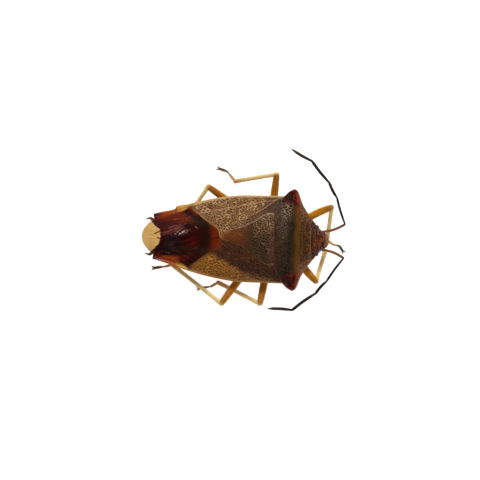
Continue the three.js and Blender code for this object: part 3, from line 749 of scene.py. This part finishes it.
def membrane_place(side):
    # both membranes cross the midline; they start just under the leathery part
    inner = curve(
        [
            (WING_TIP_X, -0.04), (-7.48, -0.36), (-7.2, -0.8), (-6.86, -1.1), (-6.4, -1.28), (-5.6, -1.34),
            (-4, -1.25), (-3.1, -0.85), (-2.4, -0.4), (-1.8, 0.0), (-1.3, 0.1),
        ]
    )

    def place(u, v):
        front = mix(-1.35, -3.8, v)
        for _ in range(6):
            front = membrane_start(mix(inner(front), wing_outer(front) - 0.03, v)) + 0.1
        x = mix(WING_TIP_X, front, u)
        return x, side * mix(inner(x), wing_outer(x) - 0.03, v)

    return place, inner


def membrane_surface(side, inner):
    def surface(x, y):
        out = side * y
        span = np.maximum(wing_outer(x) - 0.03 - inner(x), 1e-3)
        v = (out - inner(x)) / span
        waver = 0.02 * (mottle(x, y, 0.8, 21 + side) - 0.5)
        vein = np.zeros(x.shape)
        for place in VEINS:
            vein = np.maximum(vein, bump((v + waver - place) * span, 0, 0.035))
        vein = vein * smooth(-2.6, -3.6, x) * smooth(WING_TIP_X, -7.1, x)
        lean = y - STREAK_SLOPE * (x + 5)
        # A crumpled spot on the left membrane: raised a little and painted with a whitish highlight
        crumple_and_glint = smooth(0.45, 0.7, mottle(x * 0.8, lean, 0.08, 29)) * bump(y - 0.25 * (x + 4.45), 0.36, 0.16)
        crumple_and_glint = crumple_and_glint * bump(x, -4.5, 0.65)
        crease_and_glint = crumple_and_glint
        broken = smooth(0.15, 0.5, mottle(x * 0.7, lean, 0.13, 30))
        for start, end in CREASES_AND_GLINTS:
            crease_and_glint = np.maximum(crease_and_glint, 0.7 * stroke(x, y, start, end, 0.024) * broken)
        beyond = smooth(0.04, -0.04, x - notch(np.abs(y)) + 0.12 * (mottle(x, y, 0.12, 32) - 0.5))
        tooth = np.zeros(x.shape)
        for start, end in TEETH:
            tooth = np.maximum(tooth, smooth(0.3, 0.6, stroke(x, y, start, end, 0.06)) * beyond)
        beyond = beyond * (1 - tooth)
        crumpled = smooth(-2.6, -3.6, x) * (1 - beyond)
        folds = mottle(x * 0.35, y - 0.25 * x, 0.28, 24 + side)
        relief = 0.012 * vein + crumpled * 0.04 * (folds - 0.5) + 0.03 * crease_and_glint
        tint = hind_tint(x, y)
        tint = blend(tint, "#3c1410", 0.5 * vein * crumpled)
        # painted highlights, pinkish to whitish, on the creases and the crumpled spot; the membrane is less
        # clear there
        tint = blend(tint, blend("#8c4c40", "#c8b8b4", crumple_and_glint), 0.85 * crease_and_glint)
        tan = blend("#caa263", "#bb9355", np.clip(mottle(x, y, 0.4, 28) + 0.5 * vein, 0, 1))
        tint = blend(tint, tan, beyond)
        tint = blend(tint, "#6a3a18", tooth)
        clear = mix(0.55 + 0.4 * crease_and_glint, 0.86, np.maximum(beyond, tooth))
        height = back(x, y) - (0.03 if side > 0 else 0.12)
        return height, relief, tint, np.clip(clear, 0, 1)

    return surface


for name, side in (("left", 1), ("right", -1)):
    node = [f"forewing_{name}"]
    plate(
        f"corium_{name}", corium_place(side), corium_surface(side), CORIUM_THICK, rim=0.09, counts=(260, 180),
        material=shell, nodes=node,
    )
    place, inner = membrane_place(side)
    plate(
        f"membrane_{name}", place, membrane_surface(side, inner), MEMBRANE_THICK, rim=0.03, counts=(300, 160),
        material=membrane_skin, nodes=node,
    )

# Breast and belly: one skin from the collar to the hind end, with the belly's raised rim beside the wings

COLLAR_X = 5.95  # where the breast ends inside the front shield
BREAST_REAR_X = 1.1
belly_low = curve(
    [
        (ABDOMEN_REAR_X, 1.95), (-5.5, 1.65), (-3.5, 1.42), (-1, 1.35), (2.5, 1.35), (4, 1.55), (5, 1.95),
        (COLLAR_X, 2.45),
    ]
)
BELLY_POWER = 1.35
breast_half = curve(
    [(BREAST_REAR_X, 3.44), (3.4, 3.4), (4.0, 3.55), (4.5, 3.6), (5.0, 2.95), (5.5, 2.15), (COLLAR_X, 1.55)]
)
margin_height = curve(
    [
        (ABDOMEN_REAR_X, 3.1), (-4, 3.12), (-1, 3.28), (1.4, 3.35), (3.0, 3.56), (3.5, 3.72), (3.9, 3.98),
        (4.5, 4.32), (5.0, 4.0), (5.5, 3.42), (COLLAR_X, 3.2),
    ]
)
SEGMENT_ENDS = [-0.2, -1.35, -2.55, -3.75, -4.85]


def under_rings(rows=420, around=150):
    """Rings of the breast and belly, which of their points face down, and how far out each point lies."""
    x = mix(COLLAR_X, ABDOMEN_REAR_X, np.linspace(0, 1, rows))[:, None]
    half = np.where(x > BREAST_REAR_X, breast_half(x), body_half(x))
    s = np.linspace(0, 4, around, endpoint=False)[None, :]
    # s runs 0..1 from the keel to the left margin, 1..3 over the top, 3..4 back to the keel
    lower = (s <= 1) | (s >= 3)
    sine = np.sin(s * math.pi / 2)
    # the left margin stands out a little ahead of the last joint and steps in behind it
    step = 0.1 * smooth(-4.94, -4.82, x) * smooth(-3.9, -4.5, x)
    step = step - 0.07 * smooth(-4.82, -4.94, x) * smooth(-6, -5.2, x)
    y = (half + np.where(sine > 0, step, 0)) * sine
    share = np.abs(sine)
    flank = mix(belly_low(x), margin_height(x), share**BELLY_POWER)
    roof_back = back(x, y) - 0.25 + 0.2 * smooth(0.3, 0.1, half - np.abs(y)) * smooth(0.6, -0.6, x)
    cover = mix(back(x, y), pronotum_height(x, y), smooth(2.7, 3.6, x))
    roof_front = np.minimum(margin_height(x) + 0.9 * (1 - share**2), cover - 0.42)
    roof = np.where(x > BREAST_REAR_X, roof_front, roof_back)
    z = np.where(lower, flank, np.maximum(roof, margin_height(x) + 0.02))
    rear = ABDOMEN_REAR_X + 0.55 * (1 - share**2.2) * smooth(-5.4, ABDOMEN_REAR_X, x)
    points = np.stack([np.maximum(x, rear), y, z], -1)
    return points, np.broadcast_to(lower, z.shape), np.broadcast_to(share, z.shape)


def under_tint(points, lower, share):
    """Colours of the breast and belly, and where the joints between their rings lie."""
    x, y = points[..., 0], points[..., 1]
    out = np.abs(y)
    waves = mottle(x, y, 0.5, 31)
    joint = np.zeros(x.shape)
    for end in SEGMENT_ENDS:
        joint = np.maximum(joint, bump(x + 0.12 * (1 - share), end, 0.03))
    joint = joint * smooth(1.0, 0.6, x)
    below = paint(
        blend("#a8702a", "#8c4f1c", smooth(0.3, 0.7, waves)),
        ("#b58a3a", smooth(0.5, 0.1, share)),
        ("#8a3012", smooth(-4.2, -6.0, x) * 0.8),
        ("#6a3c16", smooth(2.5, 4, x) * 0.5),
    )
    inward = body_half(x) - out
    rim_tint = paint(
        blend("#b88432", "#86300c", smooth(-4.6, -4.95, x + 0.4 * (waves - 0.5))),
        ("#945c20", 0.5 * smooth(0.45, 0.7, mottle(x, y, 0.2, 34))),
        ("#5a1408", smooth(-5.6, -6.3, x)),
        ("#a8541c", bump(inward, 0.06, 0.07) * smooth(-6.2, -5.6, x) * smooth(-4.7, -5.0, x)),
        # painted highlight: a purplish-white streak along the belly's right rim
        ("#a48a96", 0.8 * stroke(x, y, (-6.5, -1.78), (-5.8, -1.96), 0.05)),
    )
    above = blend(hind_tint(x, y), rim_tint, smooth(0.55, 0.25, inward))
    above = blend(above, "#2a0606", 0.8 * smooth(-6.3, -6.55, x))
    tint = np.where(lower[..., None], below, above)
    return blend(tint, "#2a1208", 0.7 * joint), joint


def under_body():
    points, lower, share = under_rings()
    x, y, z = points[..., 0], points[..., 1], points[..., 2]
    tint, joint = under_tint(points, lower, share)
    pit = pits(x, y, 0.3, 0.09, 33) * lower * smooth(0.25, 0.45, share) * smooth(-6.3, -5.6, x)
    z += np.where(lower, 1, -1) * (0.035 * joint + 0.025 * pit)
    tint = blend(tint, "#3a1c0c", 0.7 * pit)
    loft("under_body", points, horn, tint, ["thorax", "abdomen"])


under_body()

# The spine that points forwards from the belly, and the blade on the breast ahead of it
line = through([(0.2, 0, 1.5), (1.15, 0, 0.9), (2.2, 0, 0.76)], 14)
tube(
    "belly_spine", line, np.linspace(0.28, 0.07, 14), 16, horn, [(0, "#a06a28"), (1, "#c79a4c")],
)
line = through([(2.45, 0, 1.45), (3.0, 0, 1.25), (4.4, 0, 1.75)], 16)
tube(
    "breast_blade", line, np.linspace(0.1, 0.14, 16), 16, horn, [(0, "#a8762c"), (1, "#8a5c22")],
    flatten=2.2,
)

# Genital capsule: a red cup between two arms, in the notch of the hind end

CAPSULE_HALF = 1.46
CAPSULE_HEIGHT = 2.75
ARM_TINT = [(0, "#3a0604"), (0.7, "#4a0c06"), (1, "#a8702c")]


def capsule_place(u, v):
    y = mix(-CAPSULE_HALF, CAPSULE_HALF, u)
    front = mix(-5.3, -6.6, smooth(0.9, CAPSULE_HALF, np.abs(y)))
    return mix(notch(np.abs(y)), front, v), y + 0 * v


def capsule_surface(x, y):
    out = np.abs(y)
    relief = -0.12 * bump(out, 0.5, 0.3) * smooth(-6.9, -6.2, x) + 0.05 * (mottle(x, y, 0.25, 61) - 0.5)
    tint = blend("#2a0504", "#5a0f08", smooth(0.8, 1.3, out))
    tint = blend(tint, "#8a5a24", smooth(1.36, 1.44, out))
    return CAPSULE_HEIGHT + 0.15 * smooth(0.6, 1.4, out), relief, tint, None


plate(
    "capsule_cup", capsule_place, capsule_surface, thickness=0.55, rim=0.2, counts=(110, 60),
    material=glossy, nodes=["genital_capsule"],
)
for name, side in (("left", 1), ("right", -1)):
    line = through([(-6.5, 1.12 * side, 2.6), (-6.93, 1.46 * side, 2.72), (-7.2, 1.37 * side, 2.78)], 18)
    radii = np.linspace(0.18, 0.05, 18)
    tube(f"capsule_arm_{name}", line, radii, 14, glossy, ARM_TINT)

# Head

HEAD_REAR_X = 5.9
LOBE_SEAM = 0.27  # from the midline to the seams beside the head's middle lobe
head_half = curve(
    [
        (HEAD_REAR_X, 1.08), (6.2, 1.13), (6.5, 1.08), (6.64, 1.0), (6.83, 0.82), (7.0, 0.71), (7.2, 0.57),
        (7.33, 0.44), (7.41, 0.29), (HEAD_TIP_X, 0.05),
    ]
)
head_high = curve(
    [(HEAD_REAR_X, 3.86), (6.1, 3.96), (6.3, 3.96), (6.8, 3.76), (7.2, 3.4), (HEAD_TIP_X, 3.02)]
)
head_low = curve([(HEAD_REAR_X, 2.3), (6.8, 2.42), (7.2, 2.62), (HEAD_TIP_X, 2.9)])


def head(rows=170, around=128):
    t = np.linspace(0, 1, rows)
    x = mix(HEAD_REAR_X, HEAD_TIP_X, np.sin(t * math.pi / 2) ** 0.9)[:, None]
    angle = np.linspace(0, 2 * math.pi, around, endpoint=False)[None, :]
    c, s = np.cos(angle), np.sin(angle)
    y = head_half(x) * np.sign(c) * np.abs(c) ** 0.8
    rim = mix(head_low(x), head_high(x), 0.5)
    z = rim + np.where(s > 0, head_high(x) - rim, rim - head_low(x)) * s
    x = np.broadcast_to(x, y.shape)
    upper = np.broadcast_to(s > 0, y.shape)
    out = np.abs(y)
    seam = bump(out, LOBE_SEAM - 0.05 * smooth(6.9, 7.4, x), 0.03) * smooth(6.55, 6.8, x)
    pit = pits(x, y, 0.18, 0.085, 41) * smooth(7.4, 7.25, x) * smooth(0.05, 0.12, np.abs(out - LOBE_SEAM))
    middle = 0.06 * bump(y, 0, 0.24) * smooth(6.5, 6.9, x)
    z = np.where(upper, z + middle - 0.05 * seam - 0.04 * pit, z)
    waves = mottle(x, y, 0.3, 42)
    above = paint(
        blend("#522613", "#220e08", smooth(0.35, 0.7, waves)),
        ("#7c4a30", 0.6 * smooth(0.5, 0.85, mottle(x, y, 0.13, 43))),
        ("#8a502a", smooth(6.95, 7.3, x)),
        ("#7a5024", smooth(0.7, 0.95, out) * smooth(6.6, 6.8, x)),
        ("#180c08", 0.85 * np.maximum(pit, 0.7 * seam)),
    )
    tint = np.where(upper[..., None], above, blend("#8a5a28", "#6a4220", waves))
    loft("head_shell", np.stack([x, y, z], -1), shell, tint, ["head"])


head()


def ball(name, centre, radii, material, code, nodes=(), rows=12, around=16):
    """An egg-shaped body of one colour."""
    a = np.linspace(0.02, math.pi - 0.02, rows)[:, None]
    b = np.linspace(0, 2 * math.pi, around, endpoint=False)[None, :]
    unit = np.stack(np.broadcast_arrays(np.cos(a), np.sin(a) * np.cos(b), np.sin(a) * np.sin(b)), -1)
    rings = np.array(centre) + unit * np.array(radii)
    loft(name, rings, material, np.broadcast_to(colour(code), rings.shape), nodes)


for name, side in (("left", 1), ("right", -1)):
    ball(
        f"eye_{name}_facets", (6.38, 1.05 * side, 3.3), (0.25, 0.22, 0.28), eye_skin, "#3a2628",
        [f"eye_{name}"], rows=40, around=56,
    )
    ball(f"ocellus_{name}", (6.28, 0.46 * side, 3.93), (0.08, 0.08, 0.06), eye_skin, "#5a2a18")
    line = through([(6.45, 0.8 * side, 2.75), (6.72, 0.74 * side, 2.86)], 8)
    tube(f"feeler_stub_{name}", line, 0.14, 16, shell, [(0, "#5a3418"), (1, "#6a4420")])

# Feelers

feeler_joints = {
    "left": [
        (6.7, 0.7, 2.87), (8.69, 1.36, 3.25), (7.99, 3.46, 3.2), (7.34, 4.66, 3.05), (5.91, 6.36, 2.7),
        (4.25, 7.28, 2.2),
    ],
    "right": [
        (6.75, -0.7, 2.87), (8.65, -1.33, 3.25), (7.35, -3.2, 3.2), (6.49, -4.21, 3.05), (4.65, -5.6, 2.7),
        (2.69, -5.55, 2.2),
    ],
}
# Radius of each piece at its base and from its middle on, then its colours
FEELER_WIDTHS = [(0.09, 0.11), (0.075, 0.1), (0.085, 0.12), (0.095, 0.125), (0.1, 0.12)]
FEELER_TINTS = [
    [(0, "#2e1c10"), (0.2, "#7c4c24"), (0.85, "#6a4228"), (1, "#1c1410")],
    [(0, "#181411"), (1, "#14110f")],
    [(0, "#14110f"), (1, "#181512")],
    [(0, "#14110f"), (1, "#171412")],
    [(0, "#1a1613"), (1, "#2a221b")],
]
FIRST_BOW = 0.14  # how far the first piece bends forwards, and the others outwards
OTHER_BOW = 0.045


def feeler(side_name):
    joints = [np.array(j) for j in feeler_joints[side_name]]
    way = 1 if side_name == "left" else -1
    share = np.linspace(0, 1, 26)
    for k, (a, b) in enumerate(zip(joints, joints[1:])):
        first, last = k == 0, k == len(joints) - 2
        bow = np.cross(b - a, (0, 0, 1))
        bow = bow / np.linalg.norm(bow) * (FIRST_BOW if first else -OTHER_BOW) * way
        line = a + (b - a) * mix(0.0 if first else 0.02, 0.985, share)[:, None]
        line = line + bow * np.sin(share * math.pi)[:, None]
        thin, thick = FEELER_WIDTHS[k]
        radii = mix(thin, thick, smooth(0, 0.35, share)) * mix(1, 0.82, smooth(0.92, 1, share))
        if last:
            radii = radii * mix(1, 0.45, smooth(0.75, 1, share))
        nodes = [f"antenna_{side_name}"] if first else ()
        tube(f"feeler_{side_name}_{k + 1}", line, radii, 18, feeler_skin, FEELER_TINTS[k], nodes)


for name in feeler_joints:
    feeler(name)

# Beak, folded back under the head and breast
line = through([(7.0, 0, 2.75), (6.8, 0, 2.25), (5.9, 0, 1.8), (4.9, 0, 1.32), (4.0, 0, 1.0)], 40)
tube(
    "beak_sheath", line, widths([(0, 0.16), (0.3, 0.17), (0.8, 0.13), (1, 0.05)], 40), 18, limb_skin,
    [(0, "#9a7a3c"), (0.8, "#b08a44"), (1, "#2a1a10")], ["beak"],
)

# Legs: where each one leaves the breast, its knee, its heel, and the bends and tip of its foot
legs = {
    "fore_left": (
        (4.9, 0.95), (7.6, 2.72, 2.35), (7.31, 0.06), [(7.83, -0.28), (8.28, -0.38), (8.57, -0.74)]
    ),
    "fore_right": ((4.9, -0.95), (6.5, -3.26, 2.35), (7.19, -0.82), [(6.66, -0.62), (5.95, -0.3)]),
    "mid_left": (
        (2.75, 1.0), (3.12, 5.22, 2.75), (-0.18, 4.6), [(-0.64, 5.13), (-0.88, 5.37), (-1.45, 5.56)]
    ),
    "mid_right": ((2.75, -1.0), (2.05, -5.16, 2.75), (-1.34, -3.57), [(-1.91, -3.91), (-2.8, -4.08)]),
    "hind_left": ((1.75, 1.0), (-2.33, 4.1, 2.15), (-4.94, 0.1), [(-5.55, 0.15), (-6.3, 0.2)]),
    "hind_right": ((1.75, -1.0), (-1.05, -5.23, 2.68), (-5.06, -2.24), [(-5.6, -2.4), (-6.45, -2.53)]),
}
HEEL_Z = 0.36
FOOT_Z = 0.13
HIP_TINT = [(0, "#8a5a20"), (1, "#b07c2c")]
FEMUR_TINT = [
    (0, "#b4861c"), (0.25, "#b47e14"), (0.6, "#a66c10"), (0.86, "#8a520e"), (0.95, "#86581e"), (1, "#b48a50")
]
TIBIA_TINT = [(0, "#b88e52"), (0.08, "#d0b878"), (0.5, "#d2be88"), (0.86, "#c8aa6c"), (1, "#a06c38")]
FOOT_TINT = [(0, "#b8905a"), (0.7, "#b08c58"), (1, "#5a3a24")]
TOE_TINT = [(0, "#9a7448"), (0.4, "#6a5038"), (1, "#3a2e22")]
FEMUR_WIDTHS = [(0, 0.22), (0.12, 0.26), (0.35, 0.31), (0.7, 0.31), (0.92, 0.27), (1, 0.24)]
TIBIA_WIDTHS = [(0, 0.2), (0.05, 0.18), (0.15, 0.16), (0.8, 0.17), (0.95, 0.185), (1, 0.17)]
FOOT_WIDTHS = [(0, 0.09), (0.6, 0.115), (1, 0.08)]
TOE_WIDTHS = [(0, 0.06), (0.25, 0.08), (0.7, 0.12), (1, 0.1)]
THIGH_ARCH = 0.08  # how far a thigh bends upwards, and a fore thigh outwards
FORE_THIGH_BOW = 0.13
HAIRS = 130  # on each shin
HAIR_LENGTH = 0.13
HAIR_HALF = 0.009
HAIR_FOOT = 0.014


def bristles(name, line, radii, seed):
    """Short stiff hairs that lean along a limb, each a thin pyramid, joined in one mesh."""
    draw = np.random.default_rng(seed)
    points, faces = [], []
    for _ in range(HAIRS):
        t = draw.uniform(0.05, 0.98) * (len(line) - 1.01)
        i = int(t)
        centre = mix(line[i], line[i + 1], t - i)
        ahead = line[i + 1] - line[i]
        ahead = ahead / np.linalg.norm(ahead)
        away = np.cross(ahead, draw.normal(size=3))
        away = away / np.linalg.norm(away)
        root = centre + away * np.interp(t, range(len(radii)), radii) * 0.97
        tip = root + (away * 0.75 + ahead * 0.65) * HAIR_LENGTH * draw.uniform(0.6, 1.2)
        across = np.cross(away, ahead) * HAIR_HALF
        a = len(points)
        points += [root + across, root - across, root + ahead * HAIR_FOOT, tip]
        faces += [[a, a + 1, a + 3], [a + 1, a + 2, a + 3], [a + 2, a, a + 3], [a, a + 2, a + 1]]
    piece(name, np.array(points), faces, hair_skin)


def leg(name, root, knee, heel, foot):
    hip = np.array([root[0], root[1], belly_low(root[0]) + 0.3])
    low = np.array([root[0], root[1] * 1.25, belly_low(root[0]) - 0.32])
    knee = np.array(knee)
    heel = np.array([*heel, HEEL_Z])
    line = through([hip, low], 12)
    tube(f"coxa_{name}", line, np.linspace(0.42, 0.3, 12), 24, limb_skin, HIP_TINT)
    share = np.linspace(0, 1, 40)
    arch = np.sin(share * math.pi)
    thigh = low + (knee - low) * (share * 0.985)[:, None]
    thigh[:, 2] += THIGH_ARCH * arch
    if name.startswith("fore"):
        away = np.cross((0, 0, math.copysign(1, root[1])), knee - low)
        thigh += away / np.linalg.norm(away) * (FORE_THIGH_BOW * arch)[:, None]
    radii = widths(FEMUR_WIDTHS, 40)
    # the thigh's paler sides are painted light shining through its thin edges
    tube(
        f"thigh_{name}", thigh, radii, 26, limb_skin, FEMUR_TINT, [f"femur_{name}"],
        edge=("#d0a03c", 0.6),
    )
    shin = knee + (heel - knee) * share[:, None]
    radii = widths(TIBIA_WIDTHS, 40)
    # the shin's paler sides are painted light shining through its thin edges
    tube(
        f"shin_{name}", shin, radii, 20, limb_skin, TIBIA_TINT, [f"tibia_{name}"],
        edge=("#e6d6a4", 0.5),
    )
    bristles(f"shin_hairs_{name}", shin, radii, seed=50 + len(name))
    tarsus(name, heel, foot)


def tarsus(name, heel, foot):
    """A foot: two pieces, two claws and two pads. foot gives its bends and its tip in the plan."""
    middle, *bends, tip = (np.array([*p, FOOT_Z]) for p in foot)
    line = through([heel - (0, 0, 0.06), middle], 16)
    radii = widths(FOOT_WIDTHS, 16)
    tube(f"foot_first_{name}", line, radii, 16, limb_skin, FOOT_TINT, [f"tarsus_{name}"])
    line = through([middle, *bends, tip], 24)[2:]
    tube(f"foot_second_{name}", line, widths(TOE_WIDTHS, 22), 16, limb_skin, TOE_TINT)
    ahead = line[-1] - line[-3]
    ahead = ahead / np.linalg.norm(ahead)
    across = np.array([-ahead[1], ahead[0], 0])
    for label, side in (("a", -1), ("b", 1)):
        aside = across * side
        bend = tip + ahead * 0.16 + aside * 0.13 + (0, 0, 0.03)
        point = tip + ahead * 0.3 + aside * 0.16 - (0, 0, 0.06)
        hook = through([tip + aside * 0.04, bend, point], 12)
        tube(f"claw_{label}_{name}", hook, np.linspace(0.045, 0.012, 12), 10, claw_skin)
        pad = tip + ahead * 0.16 + aside * 0.05 - (0, 0, 0.05)
        ball(f"pad_{label}_{name}", pad, (0.09, 0.06, 0.04), limb_skin, "#c8b890")


for name, (root, knee, heel, foot) in legs.items():
    leg(name, root, knee, heel, foot)

# Floor, light and camera

FLOOR_HALF = 1.5  # metres, as are all lengths of the lamps
PAPER = (0.35, 0.35, 0.35, 1)
PAPER_GLOW = 0.88
SKY_STRENGTH = 0.09
WHITE = (1, 1, 1, 1)
FRAME_WIDTH = 38.4  # millimetres that the picture spans at the level of the body
BODY_LEVEL = 3
CAMERA_HEIGHT = 700.0
PICTURE_MIDDLE = (0.323, -0.111, 0)
PICTURE_TURN = 1.54  # degrees between the picture and the body's axis


def stage():
    mesh = bpy.data.meshes.new("floor")
    corners = [(x * FLOOR_HALF, y * FLOOR_HALF, 0) for x, y in ((-1, -1), (1, -1), (1, 1), (-1, 1))]
    mesh.from_pydata(corners, [], [(0, 1, 2, 3)])
    floor = bpy.data.objects.new("floor", mesh)
    bpy.context.scene.collection.objects.link(floor)
    paper = bpy.data.materials.new("white paper")
    paper.use_nodes = True
    glow = {"Emission Color": WHITE, "Emission Strength": PAPER_GLOW}
    fill(paper.node_tree.nodes["Principled BSDF"], {"Base Color": PAPER, "Roughness": 0.9, **glow})
    mesh.materials.append(paper)
    world = bpy.data.worlds.new("studio")
    bpy.context.scene.world = world
    world.use_nodes = True
    fill(world.node_tree.nodes["Background"], {"Color": WHITE, "Strength": SKY_STRENGTH})


def softbox(name, place, size, power):
    """A square lamp at place that looks at the animal."""
    data = bpy.data.lights.new(name, "AREA")
    data.size = size
    data.energy = power
    lamp = bpy.data.objects.new(name, data)
    lamp.location = place
    lamp.rotation_euler = (-Vector(place)).to_track_quat("-Z", "Y").to_euler()
    bpy.context.scene.collection.objects.link(lamp)


def camera():
    """Looks straight down, as the photograph does."""
    middle = put(PICTURE_MIDDLE)
    data = bpy.data.cameras.new("camera")
    data.lens = data.sensor_width * (CAMERA_HEIGHT - BODY_LEVEL) / FRAME_WIDTH
    eye = bpy.data.objects.new("camera", data)
    eye.location = (middle[0], middle[1], CAMERA_HEIGHT / PER_METRE)
    eye.rotation_euler = (0, 0, math.radians(PICTURE_TURN))
    bpy.context.scene.collection.objects.link(eye)
    bpy.context.scene.camera = eye


stage()
softbox("key", (0.02, 0.22, 0.26), size=0.16, power=1.35)
softbox("fill", (0.06, -0.22, 0.3), size=0.3, power=0.7)
camera()
bpy.context.scene.view_settings.view_transform = "Standard"
